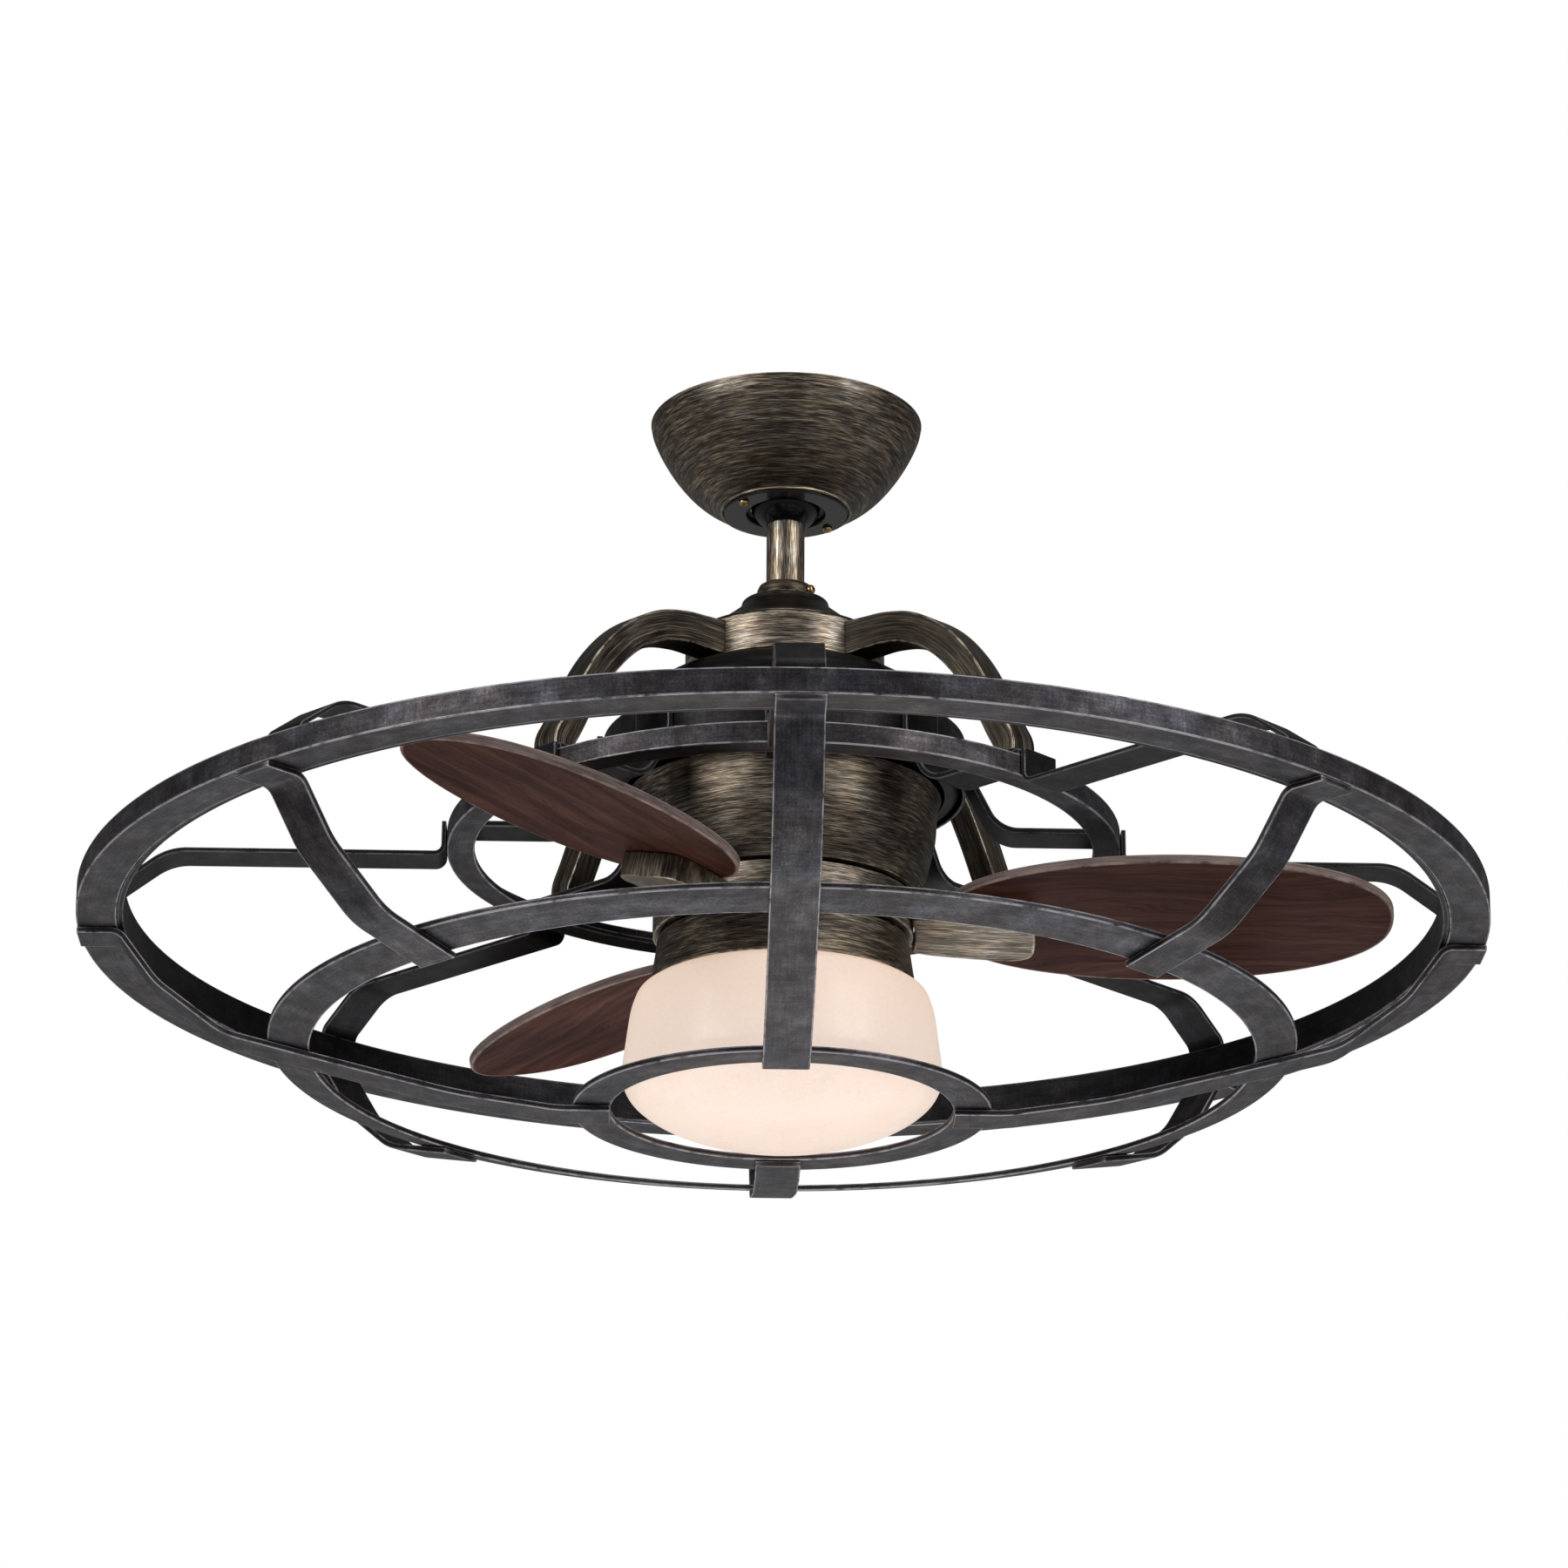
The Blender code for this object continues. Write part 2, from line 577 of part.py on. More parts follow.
def make_top_straps(rim):
    foot = HOOP_R + TOP_BAR / 2 + GAP
    hook = UPPER_RING_R + TOP_BAR / 2 + GAP
    path = rounded_path([(foot, BAR + GAP), (foot, 0.0290, 0.009), (0.4000, TOP_STRAP_Z, 0.036),
                         (hook, TOP_STRAP_Z, 0.006), (hook, 0.0755)])
    for number in range(8):
        bar(f"top_strap_{number + 1}", path, STRAP_WIDTH, TOP_BAR, dark_steel(), rim,
            CAGE_TURN + STRAP_STEP * number)


def make_spider(rim):
    """A band round the motor shell and eight straps down and out onto the upper ring."""
    steel = dark_steel()
    band_r, wall, low, high = 0.1192, 0.0020, 0.1000, 0.1370
    spider = turned("cage_spider", [(band_r - wall, low), (band_r, low), (band_r, high),
                                    (band_r - wall, high)], steel, rim, FINE)
    strap_r = band_r + 0.0010
    on_ring = UPPER_RING_Z[1] + BAR / 2 + GAP
    path = rounded_path([(strap_r, high - 0.001), (strap_r, 0.1120, 0.018), (0.1400, on_ring, 0.022),
                         (UPPER_RING_R - 0.0015, on_ring)])
    for number in range(8):
        strap = cutter(f"spider_strap_{number}", bar_mesh(path, STRAP_WIDTH, BAR), steel, rim)
        strap.rotation_euler.z = math.radians(CAGE_TURN + STRAP_STEP * number)
        boolean(spider, strap, "UNION")


def main():
    for obj in list(bpy.data.objects):
        bpy.data.objects.remove(obj, do_unlink=True)
    hub = empty("ceiling_point")
    swing = empty("ball_centre", hub, -BALL_BELOW_CEILING)
    rim = empty("rim_level", swing, BALL_BELOW_CEILING - DROP)
    spin = empty("spin_axis", rim)
    shade = empty("shade_axis", rim)
    make_ceiling_pieces(hub)
    pin = make_hanger(swing)
    make_rod(rim, pin.location.z + DROP - BALL_BELOW_CEILING)
    make_arms(rim)
    make_motor(rim, spin)
    make_blades(spin)
    make_light(rim, shade)
    make_rings(rim)
    make_lower_straps(rim)
    make_top_straps(rim)
    make_spider(rim)


main()
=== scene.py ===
"""The looks of the caged ceiling fan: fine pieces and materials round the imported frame.

Lengths are in metres. Pieces that hang are drawn in heights above the rim level and then
lowered by DROP. In a profile each point is (radius, height).
"""
import math

import bmesh
import bpy
from mathutils import Matrix, Vector


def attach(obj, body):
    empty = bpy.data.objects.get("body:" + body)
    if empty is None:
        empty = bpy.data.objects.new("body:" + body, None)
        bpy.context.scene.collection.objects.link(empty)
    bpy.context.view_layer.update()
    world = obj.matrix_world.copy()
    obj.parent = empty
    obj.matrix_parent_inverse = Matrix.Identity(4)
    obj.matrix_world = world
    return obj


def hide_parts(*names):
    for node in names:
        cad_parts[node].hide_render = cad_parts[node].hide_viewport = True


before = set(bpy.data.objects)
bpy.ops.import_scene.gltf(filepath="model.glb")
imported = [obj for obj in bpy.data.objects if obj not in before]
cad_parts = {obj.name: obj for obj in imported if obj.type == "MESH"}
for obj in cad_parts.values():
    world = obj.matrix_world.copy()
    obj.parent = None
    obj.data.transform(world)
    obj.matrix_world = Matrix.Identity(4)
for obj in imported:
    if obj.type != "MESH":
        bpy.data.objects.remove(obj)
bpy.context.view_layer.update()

# ---------------------------------------------------------------- dimensions
GAP = 0.0003                 # between pieces that rest on each other
DROP = 0.366                 # ceiling down to the rim level
BALL_BELOW_CEILING = 0.053
BALL_FLAT = 0.0130           # the ball is cut off this far above its centre
RIM_R = 0.4572
BAR = 0.004                  # thickness of the lower straps and the rings
TOP_BAR = 0.003              # thickness of the upper straps
STRAP_WIDTH = 0.030
CAGE_TURN = 1.2              # degrees from +X to the first strap
STRAP_STEP = 45.0            # degrees from one strap to the next
RIM_HEIGHT = 0.016
RIM_FLANGE_R = 0.4312
HOOP_R = 0.4308
HOOP_Z = (0.0005, 0.0240)
UPPER_RING_R = 0.2200
UPPER_RING_FLANGE_R = 0.2020
UPPER_RING_Z = (0.0577, 0.0718)
TOP_STRAP_Z = 0.0535
TOP_HOOK_Z = 0.0755          # end of the upper straps, just past the upper ring's top
MIDDLE_RING_R = (0.3045, 0.3315)
MIDDLE_RING_Z = -0.0765
MIDDLE_RING_SLOPE = 0.26
BOTTOM_RING_R = (0.1105, 0.1350)
BOTTOM_RING_Z = -0.1135
SPIDER_R = 0.1192
SPIDER_WALL = 0.0020
SPIDER_Z = (0.1000, 0.1370)
ROD_R = 0.0127
ROD_BORE_R = 0.0105
ROD_Z = (0.2145, DROP - 0.033)
SHAFT_R = 0.0100
BALL_R = 0.0245
DRUM_R = 0.0660
DRUM_TOP = 0.2056
DRUM_WALL_R = 0.0580         # inside of the drum's wall
DRUM_ROOF = 0.006
ARM_WIDTH = 0.020
ARM_DEPTH = (0.0240, 0.0175)  # at the drum and at the foot
ARM_TAPER = (0.060, 0.140)   # radius where the taper starts, and its run
BLADE_ROOT_R = 0.1025
BLADE_TIP_R = 0.397
BLADE_WIDTH = 0.150
BLADE_THICKNESS = 0.006
BLADE_Z = 0.0165
BLADE_PITCH = 12.5           # degrees
BLADE_TURN = -1.2            # degrees from +X to the first blade
IRON_ROOT = 0.0205           # half of a blade iron's width at the flywheel
IRON_DEPTH = (0.0110, 0.0050)  # at the flywheel, and what is added further out
IRON_DEEPENS = (0.078, 0.070)  # radius where that starts, and its run
FLYWHEEL_R = 0.0850
FLYWHEEL_Z = (0.0020, 0.0285)
HUB_R = (0.0120, 0.0450)
HUB_TOP = 0.0497
FITTER_BOTTOM = -0.0325
GLASS_BOTTOM = -0.1358
GLASS_WALL = 0.003
COVER_R = (0.0265, 0.0412)
COVER_Z = (-0.0650, -0.0625)
LIP_R = 0.0432               # rolled lip round the canopy's opening
LIP_Z = -0.0630
LIP_BEAD = 0.0010
SCREW_HEAD_R = 0.0034
CANOPY_SCREW_R = 0.0360
CANOPY_SCREW_ANGLES = (-141.0, 39.0)
CANOPY_SCREW_HEAD = 0.0024
COLLAR_Z = (0.2385, 0.2492)
COLLAR_R = 0.0187
COLLAR_SCREW_ANGLE = -30.0
COLLAR_SCREW_HEAD = 0.0030

FINE = 288                   # facets round the cage's rings
ROUND = 160                  # facets round the body
SMALL = 128                  # facets round the ball and the collar
THIN = 96                    # facets round the rod
TINY = 48                    # facets round a screw
CORNER = math.radians(24)    # a profile that turns more than this has a corner there
SHARP = math.radians(38)     # faces that meet at more than this are shaded apart
WEAR_MARGIN = 0.0006         # how far wear reaches in from an edge
BOARD_MARGIN = 0.0016        # the same on the blades and blade irons
END_WEAR = 0.55              # wear at a bar's ends; its long edges have 1
FLAT_WEAR = 0.4              # wear at the middle of a board's rim; its edges have 1
EASE = 0.0006                # usual radius of an edge
CAGE_EASE = 0.0007

LENS = 126.24
CAMERA_PLACE = (0, -3.4, -1.486)
CAMERA_UP = 0.347            # radians above level
CAMERA_ROLL = 0.0065
FLOOR_SIZE = 30.0
FLOOR_Z = -3.40
LAMPS = (("left", (-2.4, -2.1, 0.5), 1.5, 62.0),      # name, place, size, power
         ("right", (2.3, -1.9, 0.6), 1.5, 52.0),
         ("under", (0.0, 0.5, -1.85), 2.0, 20.0),
         ("top", (0.3, -1.0, 2.2), 1.6, 24.0))
LAMPS_AIM = (0, 0, -0.30)
SKY = ((0.30, 0.34), (0.62, 0.11))     # height in the sky, and grey


# ---------------------------------------------------------------- node graphs
class Graph:
    """A material's node tree, with short calls for the nodes used here."""

    def __init__(self, name):
        self.material = bpy.data.materials.new(name)
        self.material.use_nodes = True
        self.tree = self.material.node_tree
        self.shader = self.tree.nodes["Principled BSDF"]

    def node(self, kind, inputs=(), **settings):
        made = self.tree.nodes.new(kind)
        for key, value in settings.items():
            setattr(made, key, value)
        for key, value in dict(inputs).items():
            self.put(made.inputs[key], value)
        return made

    def put(self, socket, value):
        if isinstance(value, bpy.types.NodeSocket):
            self.tree.links.new(value, socket)
        else:
            socket.default_value = value

    def attribute(self, name):
        return self.node("ShaderNodeAttribute", attribute_name=name)

    def math(self, operation, a, b=0.5, clamp=False):
        made = self.node("ShaderNodeMath", operation=operation, use_clamp=clamp)
        self.put(made.inputs[0], a)
        self.put(made.inputs[1], b)
        return made.outputs[0]

    def vector_math(self, operation, a, b):
        made = self.node("ShaderNodeVectorMath", operation=operation)
        self.put(made.inputs[0], a)
        self.put(made.inputs[1], b)
        return made.outputs[0]

    def scaled(self, vector, scale):
        return self.vector_math("MULTIPLY", vector, scale)

    def added(self, vector, other):
        return self.vector_math("ADD", vector, other)

    def noise(self, vector, scale=1.0, detail=3.0, roughness=0.55):
        made = self.node("ShaderNodeTexNoise", {"Vector": vector, "Scale": scale, "Detail": detail,
                                                "Roughness": roughness})
        return made.outputs["Fac"]

    def ramp(self, fac, stops):
        made = self.node("ShaderNodeValToRGB", {"Fac": fac})
        ramp = made.color_ramp
        while len(ramp.elements) < len(stops):
            ramp.elements.new(0.5)
        for element, (place, color) in zip(ramp.elements, stops):
            element.position = place
            element.color = (*color, 1.0) if isinstance(color, tuple) else (color, color, color, 1.0)
        return made.outputs["Color"]

    def mix(self, fac, a, b, blend="MIX"):
        made = self.node("ShaderNodeMix", data_type="RGBA", blend_type=blend)
        for index, value in ((0, fac), (6, a), (7, b)):
            self.put(made.inputs[index], (*value, 1.0) if isinstance(value, tuple) else value)
        return made.outputs[2]

    def bump(self, height, strength, distance):
        made = self.node("ShaderNodeBump", {"Height": height, "Strength": strength, "Distance": distance})
        return made.outputs["Normal"]

    def set(self, **values):
        for key, value in values.items():
            self.put(self.shader.inputs[key.replace("_", " ")], value)
        return self.material


def toned(tone, stops):
    """The same ramp stops, each colour times one tone."""
    return [(place, tuple(tone * c for c in color)) for place, color in stops]


def worn(graph, edge, flow, low, high, scale):
    """How far an edge is rubbed bright, 0 to 1, broken up along its length."""
    patches = graph.noise(flow, scale, 4.0, 0.6)
    reach = graph.ramp(patches, [(low, 0.0), (high, 1.0)])
    return graph.math("MULTIPLY", graph.math("POWER", edge, 1.6), reach, clamp=True)


def bronze(name="brushed_bronze", tone=1.0, strokes=(85.0, 2300.0), gleam=0.36):
    """Dark bronze brushed through to champagne strokes.

    strokes gives the noise scale along flow x and y, and along flow z: the strokes run where
    it is small. gleam is the middle roughness.
    """
    graph = Graph(name)
    flow = graph.attribute("flow").outputs["Vector"]
    edge = graph.attribute("edge").outputs["Fac"]
    slow, fast = strokes
    wander = graph.noise(graph.scaled(flow, (55.0, 55.0, 55.0)), 1.0, 2.0)
    shift = graph.node("ShaderNodeCombineXYZ", {"Z": graph.math("MULTIPLY", wander, 0.0012)}).outputs[0]
    wavy = graph.added(flow, shift)
    fine = graph.noise(graph.scaled(wavy, (slow, slow, fast)), 1.0, 3.0, 0.62)
    broad = graph.noise(graph.scaled(wavy, (slow * 0.35, slow * 0.35, fast * 0.22)), 1.0, 2.0, 0.5)
    cloud = graph.noise(flow, 26.0, 3.0, 0.5)
    strokes_mixed = graph.math("ADD", graph.math("MULTIPLY", fine, 0.74), graph.math("MULTIPLY", broad, 0.26))
    # tone scales this colour: brighter copies of the bronze are painted light and darker copies painted
    # shade.
    body = graph.ramp(strokes_mixed,
                      toned(tone, [(0.36, (0.016, 0.0120, 0.0100)), (0.47, (0.075, 0.060, 0.049)),
                                   (0.54, (0.170, 0.142, 0.110)), (0.64, (0.480, 0.425, 0.335))]))
    shade = graph.ramp(cloud, [(0.32, 0.55), (0.62, 1.0)])
    body = graph.mix(1.0, body, shade, "MULTIPLY")
    tint = graph.ramp(graph.noise(flow, 60.0, 2.0), [(0.40, (1.0, 0.94, 0.86)), (0.62, (0.94, 0.98, 1.02))])
    body = graph.mix(1.0, body, tint, "MULTIPLY")
    rubbed = worn(graph, edge, flow, 0.38, 0.62, 120.0)
    color = graph.mix(graph.math("MULTIPLY", rubbed, 0.75), body, (0.52, 0.45, 0.34))
    rough = graph.math("ADD", graph.math("MULTIPLY", fine, 0.26), gleam - 0.10)
    return graph.set(Base_Color=color, Metallic=0.88, Roughness=rough,
                     Normal=graph.bump(fine, 0.35, 0.00022))


def dark_steel(name="dark_steel", tone=1.0, dim=1.0):
    """Blackened strap steel with a blue-grey bloom, fine grain and rubbed edges.

    tone is for the whole colour and dim for the rubbed edges. The copies with the lowest tone and dim, on the
    inner cage pieces and the motor shell, are painted shade.
    """
    graph = Graph(name)
    flow = graph.attribute("flow").outputs["Vector"]
    edge = graph.attribute("edge").outputs["Fac"]
    cloud = graph.noise(flow, 48.0, 7.0, 0.68)
    grain = graph.noise(graph.scaled(flow, (700.0, 700.0, 700.0)), 1.0, 2.0, 0.6)
    brush = graph.noise(graph.scaled(flow, (36.0, 36.0, 620.0)), 1.0, 3.0, 0.55)
    cross = graph.noise(graph.scaled(flow, (520.0, 520.0, 46.0)), 1.0, 2.0, 0.55)
    mixed = graph.math("ADD", graph.math("MULTIPLY", cloud, 0.52),
                       graph.math("ADD", graph.math("MULTIPLY", grain, 0.22),
                                  graph.math("ADD", graph.math("MULTIPLY", brush, 0.16),
                                             graph.math("MULTIPLY", cross, 0.10))))
    body = graph.ramp(mixed, toned(tone, [(0.37, (0.013, 0.0115, 0.0130)), (0.47, (0.034, 0.0315, 0.0350)),
                                          (0.56, (0.072, 0.069, 0.0760)), (0.65, (0.150, 0.145, 0.158))]))
    brown = graph.ramp(graph.noise(flow, 22.0, 3.0), [(0.42, (1.0, 0.93, 0.88)), (0.60, (0.95, 0.97, 1.06))])
    body = graph.mix(1.0, body, brown, "MULTIPLY")
    rubbed = worn(graph, edge, flow, 0.30, 0.52, 90.0)
    color = graph.mix(graph.math("MULTIPLY", rubbed, 0.62 * dim), body, (0.46, 0.44, 0.46))
    rough = graph.math("ADD", graph.math("MULTIPLY", mixed, -0.30), 0.60)
    return graph.set(Base_Color=color, Metallic=0.55, Roughness=rough, Specular_IOR_Level=0.20,
                     Normal=graph.bump(mixed, 0.30, 0.0006))


def walnut():
    """Dark stained walnut; the grain runs along flow x. Its rim is rubbed paler."""
    graph = Graph("walnut")
    flow = graph.attribute("flow").outputs["Vector"]
    edge = graph.attribute("edge").outputs["Fac"]
    side = graph.attribute("side").outputs["Fac"]
    bend = graph.noise(graph.scaled(flow, (7.0, 26.0, 26.0)), 1.0, 2.0)
    shift = graph.node("ShaderNodeCombineXYZ", {"Z": graph.math("MULTIPLY", bend, 0.045)}).outputs[0]
    wavy = graph.added(flow, shift)
    rings = graph.noise(graph.scaled(wavy, (5.0, 105.0, 105.0)), 1.0, 4.0, 0.62)
    pores = graph.noise(graph.scaled(wavy, (60.0, 1500.0, 1500.0)), 1.0, 2.0, 0.6)
    board = graph.noise(flow, 9.0, 2.0)
    body = graph.ramp(rings, [(0.30, (0.0300, 0.0100, 0.0075)), (0.46, (0.0540, 0.0200, 0.0150)),
                              (0.58, (0.0740, 0.0290, 0.0220)), (0.74, (0.1050, 0.0450, 0.0350))])
    dark = graph.ramp(pores, [(0.33, 0.45), (0.50, 1.0)])
    body = graph.mix(0.75, body, dark, "MULTIPLY")
    body = graph.mix(1.0, body, graph.ramp(board, [(0.35, 0.72), (0.65, 1.12)]), "MULTIPLY")
    band = graph.ramp(graph.noise(graph.scaled(flow, (40.0, 900.0, 40.0)), 1.0, 3.0),
                      [(0.35, (0.080, 0.060, 0.057)), (0.65, (0.220, 0.180, 0.168))])
    body = graph.mix(graph.math("MULTIPLY", side, 0.85), body, band)
    rubbed = worn(graph, edge, flow, 0.30, 0.56, 60.0)
    color = graph.mix(graph.math("MULTIPLY", rubbed, 0.70), body, (0.36, 0.27, 0.24))
    rough = graph.math("ADD", graph.math("MULTIPLY", pores, -0.18), 0.52)
    return graph.set(Base_Color=color, Roughness=rough, Specular_IOR_Level=0.03,
                     Normal=graph.bump(pores, 0.30, 0.00025))


def gloss_black():
    """Black enamel under a light haze of dust, paler on its edges."""
    graph = Graph("black_enamel")
    place = graph.node("ShaderNodeTexCoord").outputs["Object"]
    dust = graph.noise(place, 900.0, 3.0, 0.6)
    haze = graph.noise(place, 60.0, 3.0, 0.6)
    edge = graph.attribute("edge").outputs["Fac"]
    body = graph.ramp(dust, [(0.45, (0.0030, 0.0030, 0.0036)), (0.75, (0.0080, 0.0080, 0.0090))])
    color = graph.mix(graph.math("MULTIPLY", edge, 0.20), body, (0.10, 0.09, 0.08))
    rough = graph.math("ADD", graph.math("MULTIPLY", haze, 0.14), 0.10)
    return graph.set(Base_Color=color, Roughness=rough, Specular_IOR_Level=0.25,
                     Normal=graph.bump(haze, 0.05, 0.0004))


def plain_metal(name, dark, light, roughness, scale=220.0):
    """A bare or plated metal with a spangle of slightly different greys and fine scratches."""
    graph = Graph(name)
    place = graph.node("ShaderNodeTexCoord").outputs["Object"]
    cells = graph.node("ShaderNodeTexVoronoi", {"Vector": place, "Scale": scale}).outputs["Color"]
    scratch = graph.noise(graph.scaled(place, (120.0, 1900.0, 500.0)), 1.0, 3.0)
    fac = graph.math("ADD", graph.math("MULTIPLY", cells, 0.45), graph.math("MULTIPLY", scratch, 0.55))
    color = graph.ramp(fac, [(0.25, dark), (0.75, light)])
    rough = graph.math("ADD", graph.math("MULTIPLY", scratch, 0.25), roughness)
    return graph.set(Base_Color=color, Metallic=1.0, Roughness=rough,
                     Normal=graph.bump(scratch, 0.15, 0.0002))


def opal_glass():
    """Cream opal glass lit from inside: warm near the fitter, palest low down, dimmer at its base."""
    graph = Graph("opal_glass")
    place = graph.node("ShaderNodeTexCoord").outputs["Object"]
    height = graph.node("ShaderNodeSeparateXYZ", {"Vector": place}).outputs["Z"]
    low, high = GLASS_BOTTOM, FITTER_BOTTOM
    up = graph.node("ShaderNodeMapRange", {"Value": height, "From Min": low, "From Max": high}).outputs[0]
    cloud = graph.noise(place, 22.0, 4.0, 0.5)
    speck = graph.noise(place, 420.0, 2.0, 0.5)
    tone = graph.math("ADD", up, graph.math("MULTIPLY", graph.math("SUBTRACT", cloud, 0.5), 0.35))
    glow = graph.ramp(tone, [(0.0, (0.700, 0.550, 0.470)), (0.42, (1.000, 0.820, 0.710)),
                             (0.85, (1.000, 0.780, 0.630)), (1.0, (0.960, 0.720, 0.560))])
    body = graph.ramp(speck, [(0.30, (0.50, 0.41, 0.35)), (0.70, (0.56, 0.46, 0.40))])
    rough = graph.math("ADD", graph.math("MULTIPLY", cloud, 0.12), 0.22)
    return graph.set(Base_Color=body, Emission_Color=glow, Emission_Strength=0.56, Roughness=rough,
                     Specular_IOR_Level=0.25, Normal=graph.bump(cloud, 0.04, 0.001))


def lamp_white():
    """Frosted bulbs, lit."""
    graph = Graph("lamp_white")
    place = graph.node("ShaderNodeTexCoord").outputs["Object"]
    frost = graph.noise(place, 800.0, 3.0)
    color = graph.ramp(frost, [(0.3, (0.85, 0.82, 0.76)), (0.7, (0.93, 0.91, 0.86))])
    return graph.set(Base_Color=color, Emission_Color=(1.0, 0.86, 0.70, 1.0), Emission_Strength=1.5,
                     Roughness=graph.math("ADD", graph.math("MULTIPLY", frost, 0.2), 0.45))


def wound_iron():
    """Copper windings packed side by side on laminated iron."""
    graph = Graph("wound_iron")
    place = graph.node("ShaderNodeTexCoord").outputs["Object"]
    wire = graph.node("ShaderNodeTexWave", {"Vector": place, "Scale": 420.0, "Distortion": 1.5,
                                            "Detail": 2.0}, bands_direction="Z").outputs["Fac"]
    color = graph.ramp(wire, [(0.2, (0.06, 0.022, 0.010)), (0.6, (0.36, 0.15, 0.06)),
                              (1.0, (0.55, 0.27, 0.12))])
    rough = graph.math("ADD", graph.math("MULTIPLY", wire, -0.2), 0.5)
    return graph.set(Base_Color=color, Metallic=0.9, Roughness=rough, Normal=graph.bump(wire, 0.6, 0.0006))


# ---------------------------------------------------------------- outlines
def spline(points, steps=8):
    """A Catmull-Rom curve through the points."""
    points = [Vector(p) for p in points]
    ends = [2 * points[0] - points[1]] + points + [2 * points[-1] - points[-2]]
    path = []
    for i in range(1, len(ends) - 2):
        a, b, c, d = ends[i - 1:i + 3]
        for step in range(steps):
            t = step / steps
            path.append(0.5 * (2 * b + (c - a) * t + (2 * a - 5 * b + 4 * c - d) * t ** 2
                               + (3 * b - a - 3 * c + d) * t ** 3))
    path.append(points[-1])
    return path


def rounded_path(corners, steps=12):
    """Straight runs whose inner corners, (radius, height, bend radius), are arcs."""
    points = [Vector(c[:2]) for c in corners]
    path = [points[0]]
    for i in range(1, len(points) - 1):
        back = (points[i - 1] - points[i]).normalized()
        ahead = (points[i + 1] - points[i]).normalized()
        half = back.angle(ahead) / 2
        bend = corners[i][2]
        reach = bend / math.tan(half)
        centre = points[i] + (back + ahead).normalized() * bend / math.sin(half)
        start = points[i] + back * reach - centre
        stop = points[i] + ahead * reach - centre
        sweep = math.atan2(start.x * stop.y - start.y * stop.x, start.dot(stop))
        for step in range(steps + 1):
            path.append(centre + Matrix.Rotation(sweep * step / steps, 2) @ start)
    path.append(points[-1])
    return path


def divided(path, longest=0.012):
    """The same path with no run longer than a limit."""
    result = [path[0]]
    for a, b in zip(path, path[1:]):
        parts = max(1, math.ceil((b - a).length / longest))
        result += [a.lerp(b, k / parts) for k in range(1, parts + 1)]
    return result


def shell(outer, wall):
    """A closed loop: the outer outline, and back along a copy one wall further in."""
    outer = [Vector(p) for p in outer]
    inner = []
    for i, point in enumerate(outer):
        along = (outer[min(i + 1, len(outer) - 1)] - outer[max(i - 1, 0)]).normalized()
        inward = Vector((-along.y, along.x)) * wall
        if inward.x > 0:
            inward = -inward
        inner.append(point + inward)
    return outer + inner[::-1]


def eased(loop, radius, steps=4):
    """A closed loop with its corners rounded, as [(point, wear)]; wear is 1 on outward corners."""
    loop = [Vector(p) for p in loop]
    area = sum(a.x * b.y - b.x * a.y for a, b in zip(loop, loop[1:] + loop[:1]))
    result = []
    for i, point in enumerate(loop):
        before, after = loop[i - 1], loop[(i + 1) % len(loop)]
        back, ahead = before - point, after - point
        turn = math.pi - back.angle(ahead, math.pi)
        if turn < CORNER:
            result.append((point, 0.0))
            continue
        side = back.x * ahead.y - back.y * ahead.x
        wear = 1.0 if side * area < 0 else 0.0
        half = (math.pi - turn) / 2
        room = 0.42 * min(back.length, ahead.length)
        reach = min(radius / math.tan(half), room)
        bend = reach * math.tan(half)
        centre = point + (back.normalized() + ahead.normalized()).normalized() * bend / math.sin(half)
        start = point + back.normalized() * reach - centre
        stop = point + ahead.normalized() * reach - centre
        sweep = math.atan2(start.x * stop.y - start.y * stop.x, start.dot(stop))
        if back.length * 0.5 > reach + WEAR_MARGIN:
            result.append((point + back.normalized() * (reach + WEAR_MARGIN), 0.0))
        for step in range(steps + 1):
            result.append((centre + Matrix.Rotation(sweep * step / steps, 2) @ start, wear))
        if ahead.length * 0.5 > reach + WEAR_MARGIN:
            result.append((point + ahead.normalized() * (reach + WEAR_MARGIN), 0.0))
    return result


# ---------------------------------------------------------------- meshes
class Build:
    """A mesh with the point attributes that the materials read."""

    def __init__(self):
        self.points, self.faces = [], []
        self.flow, self.edge, self.side = [], [], []

    def point(self, place, flow, edge=0.0, side=0.0):
        self.points.append(tuple(place))
        self.flow.append(tuple(flow))
        self.edge.append(edge)
        self.side.append(side)
        return len(self.points) - 1

    def strip(self, one, two):
        """Faces between two closed rows of points, which may share points."""
        count = len(one)
        for i in range(count):
            j = (i + 1) % count
            corners = list(dict.fromkeys((one[i], one[j], two[j], two[i])))
            if len(corners) > 2:
                self.faces.append(corners)

    def finish(self, name, material, body, nodes, drop=True):
        mesh = bpy.data.meshes.new(name)
        mesh.from_pydata(self.points, [], self.faces)
        flow = mesh.attributes.new("flow", "FLOAT_VECTOR", "POINT")
        flow.data.foreach_set("vector", [c for f in self.flow for c in f])
        for label, values in (("edge", self.edge), ("side", self.side)):
            mesh.attributes.new(label, "FLOAT", "POINT").data.foreach_set("value", values)
        bm = bmesh.new()
        bm.from_mesh(mesh)
        bmesh.ops.recalc_face_normals(bm, faces=bm.faces)
        bm.to_mesh(mesh)
        bm.free()
        mesh.shade_smooth()
        mesh.set_sharp_from_angle(angle=SHARP)
        mesh.materials.append(material)
        obj = bpy.data.objects.new(name, mesh)
        bpy.context.scene.collection.objects.link(obj)
        if drop:
            obj.location.z = -DROP
        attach(obj, body)
        if nodes:
            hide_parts(*nodes)
        return obj


def seed_of(name):
    """A small offset, different for each piece, so that no two have the same strokes."""
    return sum(ord(c) * (i + 1) for i, c in enumerate(name)) % 97 * 0.37


